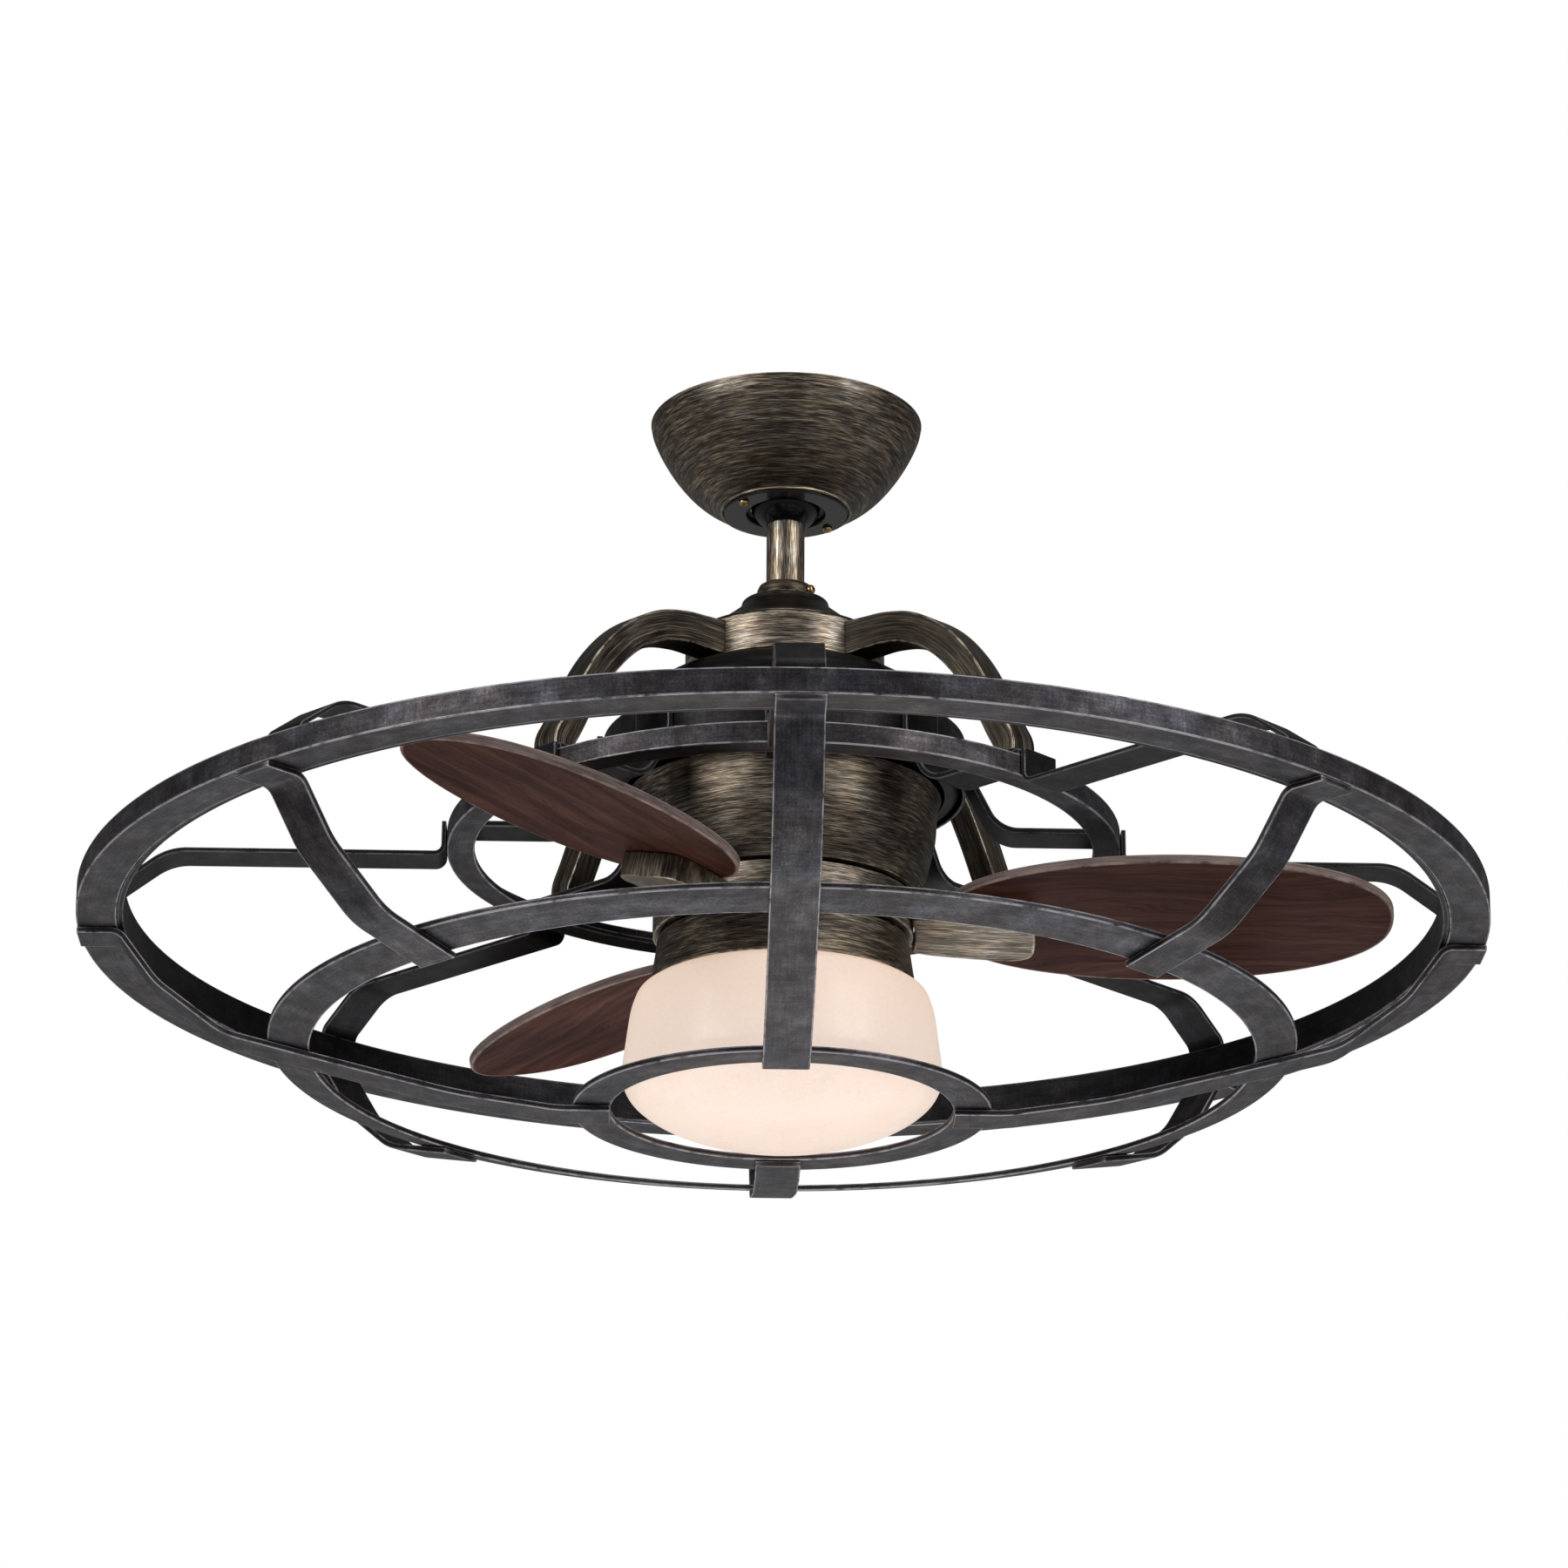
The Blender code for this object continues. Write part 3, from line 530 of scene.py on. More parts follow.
def lathe(name, loop, material, body, nodes=None, segments=ROUND, radius=EASE, drop=True,
          axis=False):
    """Turns a closed loop round Z or, with axis, an outline that starts and ends on Z."""
    loop = [Vector(p) for p in loop]
    rows = eased(loop, radius)
    if axis:
        rows = [(Vector((max(p.x, 0.0), p.y)), e) for p, e in rows]
    build = Build()
    seed = seed_of(name)
    rings, run = [], 0.0
    for k, (point, wear) in enumerate(rows):
        if k:
            run += (point - rows[k - 1][0]).length
        if point.x < 1e-6:
            index = build.point((0, 0, point.y), (0, seed, run), wear)
            rings.append([index] * segments)
            continue
        ring = []
        for i in range(segments):
            angle = 2 * math.pi * i / segments
            x, y = point.x * math.cos(angle), point.x * math.sin(angle)
            ring.append(build.point((x, y, point.y), (x + seed, y, run), wear))
        rings.append(ring)
    pairs = list(zip(rings, rings[1:]))
    if not axis:
        pairs.append((rings[-1], rings[0]))
    for one, two in pairs:
        build.strip(one, two)
    return build.finish(name, material, body, nodes or [name], drop)


def bar(name, path, width, thickness, material, body, angle=0.0, nodes=None, radius=0.0005,
        hug=None):
    """A bar of rounded rectangular section along a path in the XZ plane, turned about Z.

    thickness is one value, or one for each point. hug is a radius that the first end fits round.
    A frame is (point, direction, distance, thickness, how far the section shrinks, wear).
    """
    deep = thickness if isinstance(thickness, list) else [thickness] * len(path)
    frames, run = [], 0.0
    for i, point in enumerate(path):
        if i:
            run += (point - path[i - 1]).length
        before = (point - path[i - 1]).normalized() if i else None
        after = (path[i + 1] - point).normalized() if i < len(path) - 1 else None
        along = ((before or after) + (after or before)).normalized()
        frames.append((point, along, run, deep[i], 0.0, 0.0))
    ends = []
    for index, sign in ((0, 1), (-1, -1)):
        point, along, at, thick = frames[index][:4]
        ends.append([])
        for shrink, deep_in in ((1.0, 0.0), (0.5, 0.134), (0.134, 0.5)):     # an eased end edge
            ends[-1].append((point + along * sign * radius * deep_in, along, at + sign * radius * deep_in,
                             thick, radius * shrink, END_WEAR))
    first, last = frames[0][0], frames[-1][0]
    body_frames = [f for f in frames[1:-1]
                   if (f[0] - first).length > 2 * radius and (f[0] - last).length > 2 * radius]

    def at_distance(index, sign, distance, wear):
        point, along, at, thick = frames[index][:4]
        return (point + along * sign * distance, along, at + sign * distance, thick, 0.0, wear)

    start = ends[0] + [at_distance(0, 1, radius, END_WEAR)]
    stop = [at_distance(-1, -1, radius, END_WEAR)] + ends[1][::-1]
    if body_frames and (body_frames[0][0] - first).length > 2 * WEAR_MARGIN + radius:
        start.append(at_distance(0, 1, radius + WEAR_MARGIN, 0.0))
    if body_frames and (body_frames[-1][0] - last).length > 2 * WEAR_MARGIN + radius:
        stop.insert(0, at_distance(-1, -1, radius + WEAR_MARGIN, 0.0))
    build = Build()
    seed = seed_of(name)
    sections = []
    for point, along, at, thick, shrink, wear in start + body_frames + stop:
        normal = Vector((-along.y, along.x))
        half_w, half_t = width / 2, thick / 2
        rect = [(-half_w, -half_t), (half_w, -half_t), (half_w, half_t), (-half_w, half_t)]
        rows = eased(rect, radius)
        section, round_run = [], 0.0
        for k, (corner, corner_wear) in enumerate(rows):
            if k:
                round_run += (corner - rows[k - 1][0]).length
            across = corner.x * (half_w - shrink) / half_w
            out = corner.y * (half_t - shrink) / half_t
            place = [point.x + normal.x * out, across, point.y + normal.y * out]
            if hug is not None and place[0] < 2 * hug:
                least = math.sqrt(hug ** 2 - across ** 2)
                place[0] = max(place[0], least)
            section.append(build.point(place, (at + seed, seed, round_run), max(wear, corner_wear)))
        sections.append(section)
    for one, two in zip(sections, sections[1:]):
        build.strip(one, two)
    for section in (sections[0], sections[-1]):
        middle = sum((Vector(build.points[i]) for i in section), Vector()) / len(section)
        inside = [build.point(middle.lerp(Vector(build.points[i]), 0.6), build.flow[i]) for i in section]
        build.strip(section, inside)
        build.faces.append(inside)
    obj = build.finish(name, material, body, nodes or [name])
    obj.rotation_euler.z = math.radians(angle)
    return obj


def plate(name, outline, low, high, radius, material, body, place):
    """A board with a closed outline and rounded edges; low and high are functions of a point."""
    build = Build()
    seed = seed_of(name)
    count = len(outline)
    normals = []
    for i in range(count):
        along = (outline[(i + 1) % count] - outline[i - 1]).normalized()
        normals.append(Vector((-along.y, along.x)))
    area = sum(a.x * b.y - b.x * a.y for a, b in zip(outline, outline[1:] + outline[:1]))
    sign = 1 if area > 0 else -1
    steps = 4

    def ring(inset, height, edge, side):
        row = []
        for point, normal in zip(outline, normals):
            spot = point + normal * sign * inset
            z = height(spot)
            flow = (spot.x + seed, z, spot.y)
            row.append(build.point((spot.x, spot.y, z), flow, edge, side))
        return row

    rings = [ring(radius + BOARD_MARGIN, low, 0.0, 0.0)]
    for face, inward, order in ((low, 1, range(steps + 1)), (high, -1, range(steps, -1, -1))):
        for k in order:
            a = math.pi / 2 * k / steps
            rise = inward * radius * (1 - math.cos(a))
            rings.append(ring(radius * (1 - math.sin(a)), lambda p: face(p) + rise,
                              1.0 if k < steps else FLAT_WEAR, k / steps))
    rings.append(ring(radius + BOARD_MARGIN, high, 0.0, 0.0))
    for one, two in zip(rings, rings[1:]):
        build.strip(one, two)
    build.faces.append(rings[0][::-1])
    build.faces.append(rings[-1])
    obj = build.finish(name, material, body, [name], drop=False)
    obj.matrix_world = Matrix.Translation((0, 0, -DROP)) @ place
    return obj


def screw(name, head_r, head_height, place, material, body):
    """A pan-head screw with a cross recess; its head points down its own Z."""
    shoulder = head_height * 0.35
    dome = [(0.0, -head_height), (head_r * 0.45, -head_height * 0.96), (head_r * 0.78, -head_height * 0.78),
            (head_r * 0.96, -shoulder), (head_r, -shoulder * 0.4)]
    profile = [Vector((0.0, 0.0)), Vector((head_r * 0.97, 0.0))] + spline(dome, 6)[::-1]
    obj = lathe(name, profile, material, body, segments=TINY, radius=0.0001, drop=False, axis=True)
    width, depth = head_r * 0.20, head_height * 0.5
    for turn in (0, 90):
        bm = bmesh.new()
        bmesh.ops.create_cube(bm, size=1.0)
        bmesh.ops.scale(bm, vec=(head_r * 1.15, width, depth * 2), verts=bm.verts)
        bmesh.ops.translate(bm, vec=(0, 0, -head_height), verts=bm.verts)
        mesh = bpy.data.meshes.new("recess")
        bm.to_mesh(mesh)
        bm.free()
        cutter = bpy.data.objects.new("recess", mesh)
        bpy.context.scene.collection.objects.link(cutter)
        cutter.rotation_euler.z = math.radians(turn)
        mod = obj.modifiers.new("recess", "BOOLEAN")
        mod.operation, mod.solver, mod.object = "DIFFERENCE", "EXACT", cutter
        bpy.context.view_layer.update()
        evaluated = obj.evaluated_get(bpy.context.evaluated_depsgraph_get())
        cut = bpy.data.meshes.new_from_object(evaluated)
        obj.modifiers.clear()
        obj.data = cut
        bpy.data.objects.remove(cutter)
    obj.matrix_world = place
    return obj


# ---------------------------------------------------------------- pieces at the ceiling
def make_ceiling(mats):
    outer = spline([(0.0426, -0.0630), (0.0550, -0.0560), (0.0660, -0.0465), (0.0760, -0.0340),
                    (0.0838, -0.0210), (0.0892, -0.0090), (0.0910, -0.0010)], 10)
    lathe("canopy", shell(outer, 0.0013), mats["bronze"], "ceiling_mount",
          segments=FINE, drop=False)
    turns = [k * math.pi / 8 for k in range(16)]
    lip = [(LIP_R + LIP_BEAD * math.cos(turn), LIP_Z + LIP_BEAD * math.sin(turn)) for turn in turns]
    # The rolled lip wears a much brighter copy of the bronze: a painted highlight along it.
    lathe("canopy_lip", lip, mats["bronze_lip_painted_highlight"], "ceiling_mount", nodes=["canopy"],
          segments=FINE, drop=False)
    (inside, outside), (low, high) = COVER_R, COVER_Z
    cover = [(inside, low), (outside, low), (outside, high), (inside, high)]
    lathe("canopy_cover", cover, mats["black"], "ceiling_mount", segments=FINE,
          radius=0.0008, drop=False)
    for number, angle in enumerate(CANOPY_SCREW_ANGLES, 1):
        turn = math.radians(angle)
        spot = (CANOPY_SCREW_R * math.cos(turn), CANOPY_SCREW_R * math.sin(turn), low - GAP)
        place = Matrix.Translation(spot) @ Matrix.Rotation(0.4, 4, "Z")
        screw(f"canopy_screw_{number}", SCREW_HEAD_R, CANOPY_SCREW_HEAD, place, mats["brass"],
              "ceiling_mount")


def make_hanger(mats):
    bore = ROD_R + GAP
    start, end = -math.acos(bore / BALL_R), math.asin(BALL_FLAT / BALL_R)
    steps = 40
    profile = []
    for step in range(steps + 1):
        angle = start + (end - start) * step / steps
        profile.append((BALL_R * math.cos(angle), BALL_R * math.sin(angle) - BALL_BELOW_CEILING))
    profile.append((bore, BALL_FLAT - BALL_BELOW_CEILING))
    lathe("hanger_ball", profile, mats["black"], "fixture", segments=SMALL, drop=False)
    low, high = ROD_Z
    # The rod wears a brighter copy of the bronze: painted light.
    lathe("downrod", [(ROD_BORE_R, low), (ROD_R, low), (ROD_R, high), (ROD_BORE_R, high)], mats["rod"],
          "fixture", segments=THIN)
    low, high = COLLAR_Z
    lathe("rod_collar", [(bore, low), (COLLAR_R, low), (COLLAR_R, high - 0.004),
                         (COLLAR_R - 0.0012, high - 0.0012), (COLLAR_R - 0.004, high), (bore, high)],
          mats["bronze"], "fixture", segments=SMALL)
    turn = math.radians(COLLAR_SCREW_ANGLE)
    outward = Vector((math.cos(turn), math.sin(turn), 0))
    height = (low + high) / 2 - 0.0005 - DROP
    place = Matrix.Translation(outward * (COLLAR_R + GAP) + Vector((0, 0, height)))
    place = place @ outward.to_track_quat("-Z", "Y").to_matrix().to_4x4()
    screw("collar_screw", SCREW_HEAD_R, COLLAR_SCREW_HEAD, place, mats["brass"], "fixture")

    slope = spline([(0.0287, 0.2360), (0.0307, 0.2310), (0.0400, 0.2230), (0.0500, 0.2155),
                    (0.0630, 0.2090)], 6)
    cap = [(bore, 0.2120), (bore, 0.2382), (0.0235, 0.2382)] + slope
    cap += [(0.0645, DRUM_TOP + GAP), (0.0200, DRUM_TOP + GAP), (0.0200, 0.2120)]
    # The yoke cap wears a darker copy of the bronze: painted shade.
    lathe("yoke_cap", cap, mats["bronze_in_painted_shade"], "fixture", segments=ROUND)
    bore, inside, roof = SHAFT_R + GAP, DRUM_WALL_R, DRUM_TOP - DRUM_ROOF
    # The drum wears a brighter copy of the bronze: painted light.
    lathe("top_drum", [(bore, roof), (inside, roof), (inside, 0.1550), (0.0620, 0.1550),
                       (0.0630, 0.1804), (DRUM_R, 0.1812), (DRUM_R, DRUM_TOP), (bore, DRUM_TOP)],
          mats["bronze_painted_light"], "fixture", segments=ROUND)


def make_arms(mats):
    points = [(0.060, 0.1925), (0.080, 0.1915), (0.100, 0.1900), (0.123, 0.1840), (0.148, 0.1690),
              (0.169, 0.1470), (0.185, 0.1220), (0.1980, 0.0970), (0.2045, 0.0850), (0.2048, 0.0769)]
    path = spline(points, 10)
    (root, foot), (start, run) = ARM_DEPTH, ARM_TAPER
    depth = [root + (foot - root) * min(1.0, max(0.0, p.x - start) / run) ** 0.8 for p in path]
    # The arms wear a darker copy of the bronze: painted shade.
    for number in range(4):
        bar(f"arm_{number + 1}", path, ARM_WIDTH, depth, mats["bronze_arm"], "fixture",
            45 + 90 * number, radius=0.0010, hug=DRUM_R + 0.0004)


# ---------------------------------------------------------------- motor
def make_motor(mats):
    top = [(0.0638, 0.1795), (0.0700, 0.1785), (0.0860, 0.1720), (0.0985, 0.1620), (0.1010, 0.1530),
           (0.1033, 0.1480), (0.1080, 0.1440), (0.1125, 0.1400), (0.1150, 0.1350), (0.1160, 0.1280),
           (0.1160, 0.1080), (0.1148, 0.1030), (0.1115, 0.1003), (0.1055, 0.0998)]
    # The top shell wears a far darker copy of the steel: painted shade.
    lathe("motor_top_shell", shell(spline(top[::-1], 6), 0.0018), mats["motor_steel_painted_shade"], "fixture",
          segments=ROUND)
    wall, lip_r, low = 0.0018, 0.0520, 0.0305
    outer = spline([(0.0905, 0.0345), (0.0925, 0.0405), (0.0965, 0.0560), (0.0995, 0.0700),
                    (0.1005, 0.0850), (0.1015, 0.0930), (0.1033, 0.0975)], 6)
    inner = [Vector((p.x - wall, p.y)) for p in outer][::-1]
    loop = [(lip_r, low), (0.0870, low)] + outer + inner + [(0.0865, low + wall), (lip_r, low + wall)]
    lathe("lower_housing", loop, mats["bronze"], "fixture", segments=FINE)
    (bore, hub), (low, high) = HUB_R, FLYWHEEL_Z
    # The flywheel wears a brighter copy of the bronze: painted light.
    lathe("flywheel", [(bore, low), (FLYWHEEL_R, low), (FLYWHEEL_R, high), (hub, high), (hub, HUB_TOP),
                       (bore, HUB_TOP)], mats["bronze_painted_light"], "rotor", segments=FINE,
          radius=0.0010)


# ---------------------------------------------------------------- blades
def leaf(count=140):
    """A blade's outline in plan: an ellipse with fuller ends."""
    length = BLADE_TIP_R - BLADE_ROOT_R
    middle = (BLADE_TIP_R + BLADE_ROOT_R) / 2
    near, far = [], []
    for i in range(count + 1):
        u = -math.cos(math.pi * i / count)
        half = BLADE_WIDTH / 2 * max(0.0, 1 - u * u) ** 0.42
        x = middle + u * length / 2
        near.append(Vector((x, -half)))
        far.append(Vector((x, half)))
    outline = near + far[-2:0:-1]
    return even(outline, 420)


def even(outline, count):
    """The same closed outline with its points spread evenly."""
    runs = [0.0]
    closed = outline + outline[:1]
    for a, b in zip(closed, closed[1:]):
        runs.append(runs[-1] + (b - a).length)
    result, k = [], 0
    for i in range(count):
        target = runs[-1] * i / count
        while runs[k + 1] < target:
            k += 1
        result.append(closed[k].lerp(closed[k + 1], (target - runs[k]) / (runs[k + 1] - runs[k])))
    return result


def iron_outline():
    """In plan: round the flywheel at its root, wider outward, with a rounded nose."""
    clear = FLYWHEEL_R + 0.0004
    side = spline([(0.0860, IRON_ROOT), (0.100, 0.0225), (0.130, 0.0238), (0.1490, 0.0232), (0.1590, 0.0205),
                   (0.1630, 0.0150), (0.1640, 0.0070), (0.1642, 0.0)], 10)
    right = [Vector((p.x, -p.y)) for p in side]
    left = [Vector(p) for p in side][::-1][1:]
    root = []
    for k in range(1, 14):
        y = IRON_ROOT * (1 - 2 * k / 14)
        root.append(Vector((math.sqrt((clear + 0.0004) ** 2 - y * y), y)))
    return right + left + root


def make_blades(mats):
    half = BLADE_THICKNESS / 2
    top = -half - GAP
    (depth, added), (start, run) = IRON_DEPTH, IRON_DEEPENS

    def under(p):
        return top - (depth + added * min(1.0, max(0.0, (p.x - start) / run)))

    for number in range(3):
        turn = Matrix.Rotation(math.radians(BLADE_TURN + 120 * number), 4, "Z")
        pitch = Matrix.Rotation(math.radians(-BLADE_PITCH), 4, "X")
        place = turn @ Matrix.Translation((0, 0, BLADE_Z)) @ pitch
        plate(f"blade_{number + 1}", leaf(), lambda p: -half, lambda p: half, 0.0012, mats["walnut"], "rotor",
              place)
        # The blade irons wear a brighter copy of the bronze: painted light.
        plate(f"blade_iron_{number + 1}", iron_outline(), under, lambda p: top, 0.0011, mats["bronze_iron_painted_light"],
              "rotor", place)


# ---------------------------------------------------------------- light
def make_light(mats):
    top, wall = -0.0010, 0.0015
    outer = spline([(0.0820, top), (0.0830, -0.0100), (0.0848, -0.0220), (0.0865, FITTER_BOTTOM)], 8)
    inner = [Vector((p.x - wall, p.y)) for p in outer[4:]][::-1]
    bore = SHAFT_R + GAP
    lathe("light_fitter", [(bore, top)] + outer + inner + [(0.0800, top - wall), (bore, top - wall)],
          mats["bronze"], "fixture", segments=FINE)
    rim = FITTER_BOTTOM - 0.0015
    dome = spline([(0.0, GLASS_BOTTOM), (0.0300, -0.1338), (0.0570, -0.1280), (0.0810, -0.1185),
                   (0.0955, -0.1085), (0.1020, -0.0990), (0.1034, -0.0890), (0.1012, -0.0700),
                   (0.0987, -0.0520), (0.0962, -0.0430), (0.0935, -0.0375), (0.0885, rim)], 8)
    dome += [Vector((0.0800, rim)), Vector((0.0800, -0.0160))]
    lathe("glass_shade", [(max(p.x, 0.0), p.y) for p in shell(dome, GLASS_WALL)], mats["opal"], "shade",
          segments=FINE, radius=0.0012, axis=True)


# ---------------------------------------------------------------- cage
def under_middle_ring(radius):
    """The height at which a lower strap's middle passes under the sloping middle ring."""
    middle = sum(MIDDLE_RING_R) / 2
    return MIDDLE_RING_Z + (radius - middle) * MIDDLE_RING_SLOPE - BAR - 2 * GAP


def make_cage(mats):
    # inner is a darker copy of the cage steel: painted shade on the hoop, the upper straps and the spider.
    steel, inner, slot, body = mats["steel"], mats["steel_inside_painted_shade"], "dark_steel", "fixture"

    def ring(name, loop, material, nodes=None):
        lathe(name, loop, material, body, nodes, FINE, CAGE_EASE)

    ring("cage_rim", [(RIM_FLANGE_R, 0), (RIM_R, 0), (RIM_R, RIM_HEIGHT), (RIM_R - BAR, RIM_HEIGHT),
                      (RIM_R - BAR, BAR), (RIM_FLANGE_R, BAR)], steel)
    low, high = HOOP_Z
    ring("cage_hoop", [(HOOP_R - BAR, low), (HOOP_R, low), (HOOP_R, high), (HOOP_R - BAR, high)], inner)
    low, high = UPPER_RING_Z
    ring("upper_ring", [(UPPER_RING_FLANGE_R, low), (UPPER_RING_R, low), (UPPER_RING_R, high),
                        (UPPER_RING_R - BAR, high), (UPPER_RING_R - BAR, low + BAR),
                        (UPPER_RING_FLANGE_R, low + BAR)], steel)
    tilt = (MIDDLE_RING_R[1] - MIDDLE_RING_R[0]) / 2 * MIDDLE_RING_SLOPE
    half = BAR / 2
    (inside, outside), z = MIDDLE_RING_R, MIDDLE_RING_Z
    ring("middle_ring", [(inside, z - tilt - half), (outside, z + tilt - half),
                         (outside, z + tilt + half), (inside, z - tilt + half)], steel)
    (inside, outside), z = BOTTOM_RING_R, BOTTOM_RING_Z
    ring("bottom_ring", [(inside, z - half), (outside, z - half), (outside, z + half), (inside, z + half)],
         steel)

    under_rim = -BAR / 2 - GAP
    under_bottom = BOTTOM_RING_Z - BAR - 2 * GAP
    outer = [(RIM_R, under_rim), (0.4300, under_rim, 0.012), (0.4045, -0.0365, 0.050),
             (0.3600, under_middle_ring(0.3600), 0.050)]
    end = MIDDLE_RING_R[0] - 0.002
    short = divided(rounded_path(outer + [(end, under_middle_ring(end))]))
    long = divided(rounded_path(outer + [(0.2940, under_middle_ring(0.2940), 0.20), (0.2100, -0.1085, 0.30),
                                         (0.1450, under_bottom, 0.10), (BOTTOM_RING_R[0], under_bottom)]))
    for number in range(4):
        angle = CAGE_TURN + 90 * number
        bar(f"lower_long_strap_{number + 1}", long, STRAP_WIDTH, BAR, steel, body, angle, radius=0.0006)
        bar(f"lower_short_strap_{number + 1}", short, STRAP_WIDTH, BAR, steel, body,
            angle + STRAP_STEP, radius=0.0006)

    foot = HOOP_R + TOP_BAR / 2 + GAP
    hook = UPPER_RING_R + TOP_BAR / 2 + GAP
    top = divided(rounded_path([(foot, BAR + GAP), (foot, 0.0290, 0.009), (0.4000, TOP_STRAP_Z, 0.036),
                                (hook, TOP_STRAP_Z, 0.006), (hook, TOP_HOOK_Z)]))
    for number in range(8):
        bar(f"top_strap_{number + 1}", top, STRAP_WIDTH, TOP_BAR, inner, body,
            CAGE_TURN + STRAP_STEP * number, radius=0.0005)

    inside, (low, high) = SPIDER_R - SPIDER_WALL, SPIDER_Z
    ring("cage_spider_band", [(inside, low), (SPIDER_R, low), (SPIDER_R, high), (inside, high)], inner,
         ["cage_spider"])
    strap_r = SPIDER_R + BAR / 2 + 0.0001      # the spider's straps are fixed to its band
    on_ring = UPPER_RING_Z[1] + BAR / 2 + GAP
    path = divided(rounded_path([(strap_r, high - 0.001), (strap_r, 0.1120, 0.018), (0.1400, on_ring, 0.022),
                                 (UPPER_RING_R - 0.0015, on_ring)]))
    for number in range(8):
        bar(f"cage_spider_strap_{number + 1}", path, STRAP_WIDTH, BAR, inner, body,
            CAGE_TURN + STRAP_STEP * number, nodes=["cage_spider"], radius=0.0006)


# ---------------------------------------------------------------- set
def make_set():
    """The floor, the sky and the lights."""
    floor_mat = Graph("pale_floor")
    place = floor_mat.node("ShaderNodeTexCoord").outputs["Object"]
    tone = floor_mat.noise(place, 3.0, 4.0)
    pale = floor_mat.ramp(tone, [(0.3, (0.76, 0.76, 0.75)), (0.7, (0.80, 0.80, 0.79))])
    floor_mat.set(Base_Color=pale, Emission_Color=pale, Emission_Strength=0.38, Roughness=0.9)
    bpy.ops.mesh.primitive_plane_add(size=FLOOR_SIZE, location=(0, 0, FLOOR_Z))
    floor = bpy.context.object
    floor.name = "floor"
    floor.data.materials.append(floor_mat.material)

    # A soft sky, brighter low down, lights the object; the camera itself sees plain white.
    world = bpy.data.worlds.new("studio")
    bpy.context.scene.world = world
    world.use_nodes = True
    nodes, links = world.node_tree.nodes, world.node_tree.links
    background = nodes["Background"]
    coord = nodes.new("ShaderNodeTexCoord")
    split = nodes.new("ShaderNodeSeparateXYZ")
    ramp = nodes.new("ShaderNodeValToRGB")
    spread = nodes.new("ShaderNodeMapRange")
    links.new(coord.outputs["Generated"], split.inputs[0])
    links.new(split.outputs["Z"], spread.inputs["Value"])
    spread.inputs["From Min"].default_value = -1.0
    links.new(spread.outputs[0], ramp.inputs["Fac"])
    for element, (height, grey) in zip(ramp.color_ramp.elements, SKY):
        element.position = height
        element.color = (grey, grey, grey, 1)
    path = nodes.new("ShaderNodeLightPath")
    mix = nodes.new("ShaderNodeMix")
    mix.data_type = "RGBA"
    links.new(path.outputs["Is Camera Ray"], mix.inputs[0])
    links.new(ramp.outputs["Color"], mix.inputs[6])
    mix.inputs[7].default_value = (1.0, 1.0, 1.0, 1.0)
    links.new(mix.outputs[2], background.inputs["Color"])

    for name, spot, size, power in LAMPS:
        light = bpy.data.lights.new(name, "AREA")
        light.size = size
        light.energy = power
        lamp = bpy.data.objects.new(name, light)
        bpy.context.scene.collection.objects.link(lamp)
        lamp.location = spot
        lamp.rotation_euler = (Vector(LAMPS_AIM) - lamp.location).to_track_quat("-Z", "Y").to_euler()


def make_camera():
    camera = bpy.data.cameras.new("camera")
    camera.lens = LENS
    camera.clip_end = 60.0
    obj = bpy.data.objects.new("camera", camera)
    bpy.context.scene.collection.objects.link(obj)
    tilt = Matrix.Rotation(math.pi / 2 + CAMERA_UP, 4, "X") @ Matrix.Rotation(CAMERA_ROLL, 4, "Z")
    obj.matrix_world = Matrix.Translation(CAMERA_PLACE) @ tilt
    bpy.context.scene.camera = obj


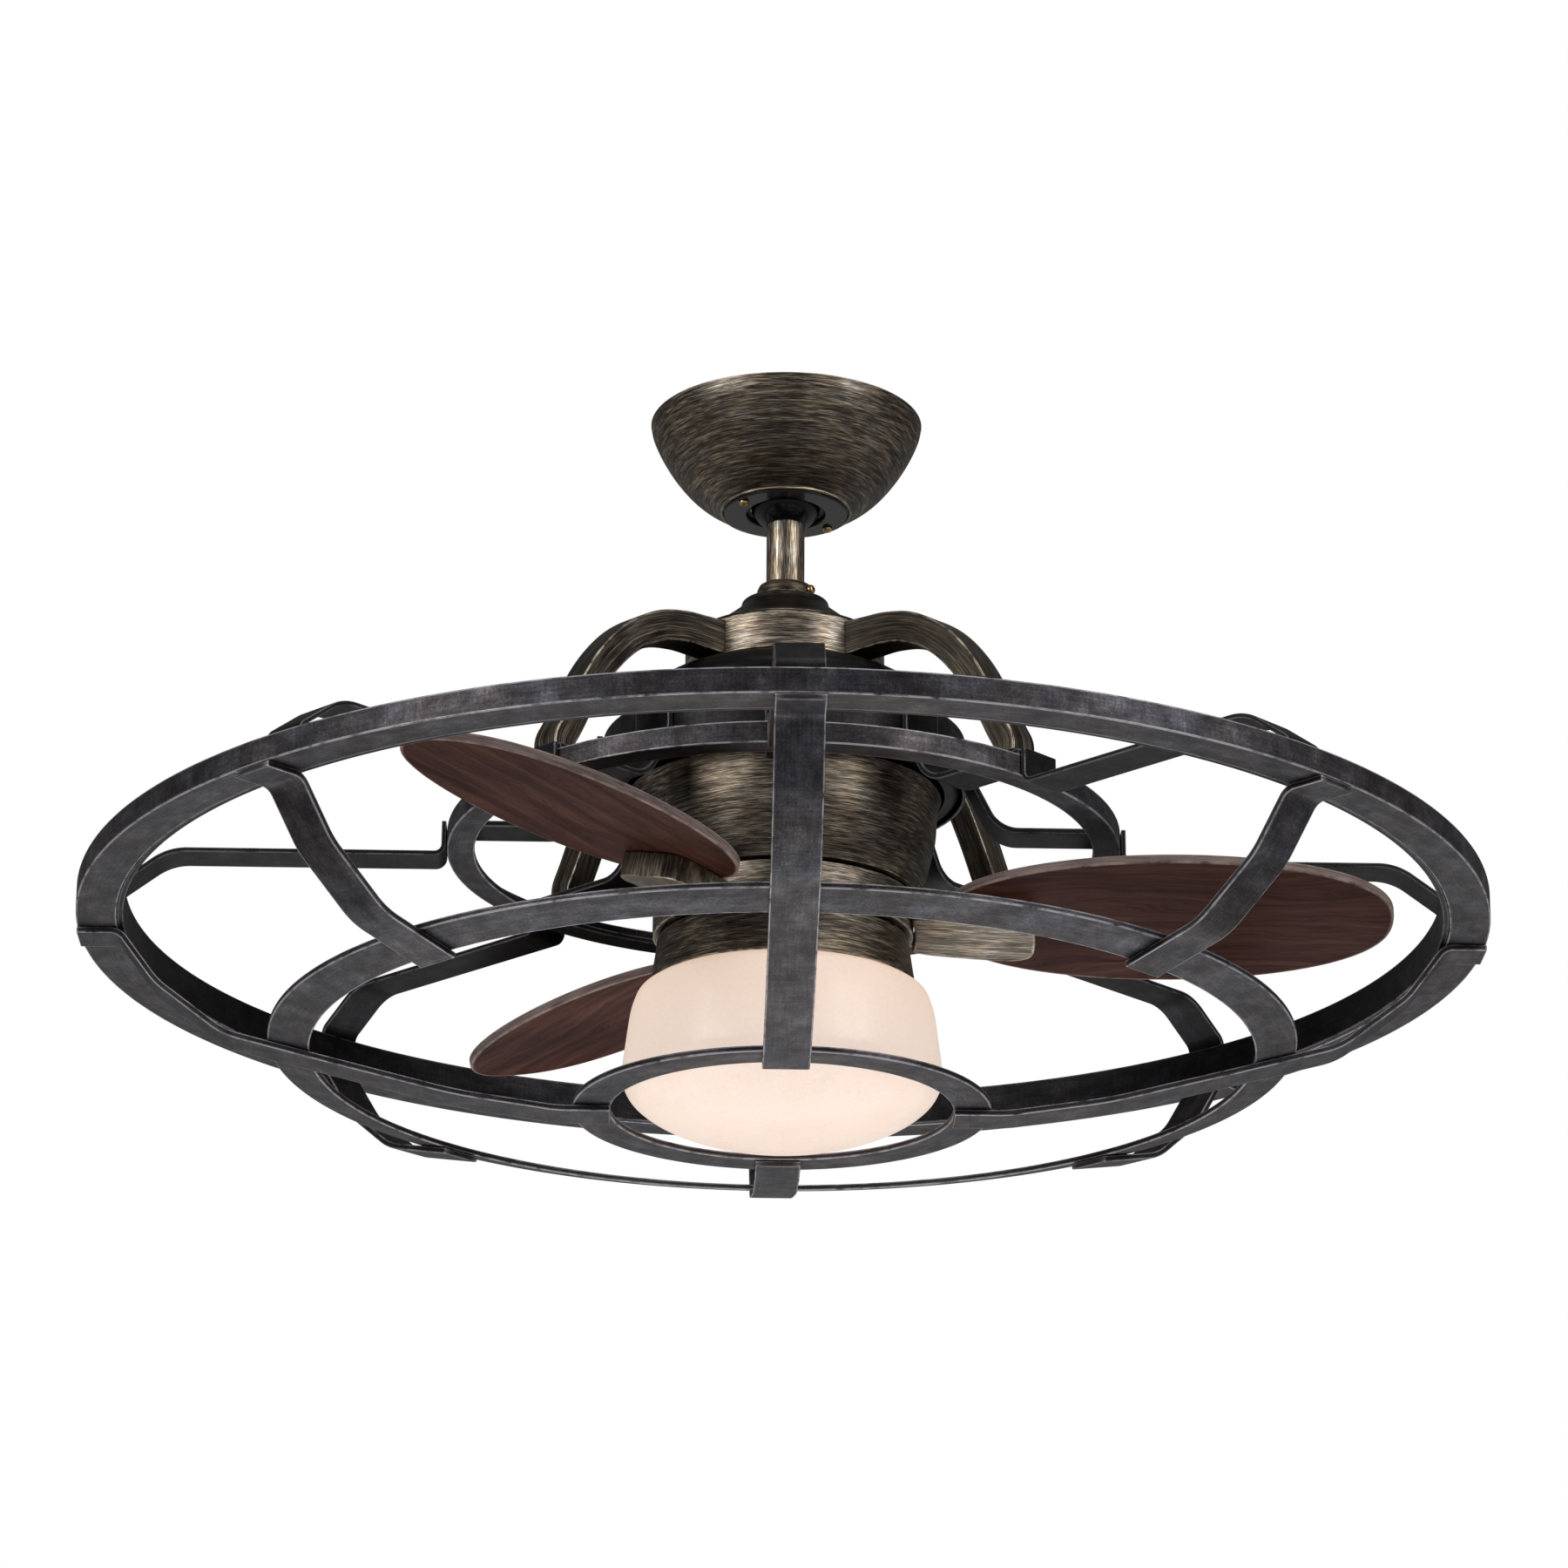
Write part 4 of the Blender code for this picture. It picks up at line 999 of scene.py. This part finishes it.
def dress_frame(mats):
    """Materials for the CAD nodes that stay."""
    kinds = {"hanger_bracket": "bracket", "ball_pin": "zinc", "motor_shaft": "zinc", "bearing_lower": "zinc",
             "bearing_upper": "zinc", "lamp_plate": "zinc", "stator": "wound", "rotor_bell": "alloy",
             "lamp_socket_1": "black", "lamp_socket_2": "black", "bulb_1": "lamp", "bulb_2": "lamp"}
    for node, kind in kinds.items():
        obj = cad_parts[node]
        obj.data.materials.clear()
        obj.data.materials.append(mats[kind])


def main():
    bpy.context.scene.view_settings.view_transform = "Standard"
    # Several copies below differ from the bronze and the steel only in tone: those for the yoke cap, the
    # arms, the inner cage pieces and the motor shell are painted shade; those for the drum and flywheel, the
    # lip, the rod and the blade irons are painted light.
    mats = {"bronze": bronze(gleam=0.40), "bronze_in_painted_shade": bronze("bronze_painted_shade_for_cap", 0.30),
            "bronze_painted_light": bronze("bronze_painted_light", 1.8), "bronze_lip_painted_highlight": bronze("bronze_lip_painted_highlight", 3.0),
            "bronze_arm": bronze("bronze_arm", 0.62, (40.0, 1700.0)),
            "rod": bronze("bronze_rod_painted_light", 1.7, (1900.0, 75.0)),
            "bronze_iron_painted_light": bronze("bronze_iron_painted_light", 1.40, (60.0, 1700.0)),
            "steel": dark_steel(tone=0.72), "steel_inside_painted_shade": dark_steel("dark_steel_painted_shade_inside", 0.22, 0.35),
            "motor_steel_painted_shade": dark_steel("dark_steel_painted_shade_motor", 0.08, 0.15),
            "black": gloss_black(),
            "brass": plain_metal("brass", (0.38, 0.27, 0.10), (0.70, 0.55, 0.28), 0.18),
            "bracket": plain_metal("bracket_steel", (0.030, 0.030, 0.031), (0.075, 0.075, 0.078), 0.40),
            "zinc": plain_metal("plain_steel", (0.34, 0.34, 0.35), (0.58, 0.58, 0.60), 0.30),
            "alloy": plain_metal("cast_alloy", (0.30, 0.30, 0.30), (0.48, 0.48, 0.48), 0.42, 500.0),
            "walnut": walnut(), "opal": opal_glass(), "lamp": lamp_white(), "wound": wound_iron()}
    make_camera()
    make_set()
    make_ceiling(mats)
    make_hanger(mats)
    make_arms(mats)
    make_motor(mats)
    make_blades(mats)
    make_light(mats)
    make_cage(mats)
    dress_frame(mats)


main()
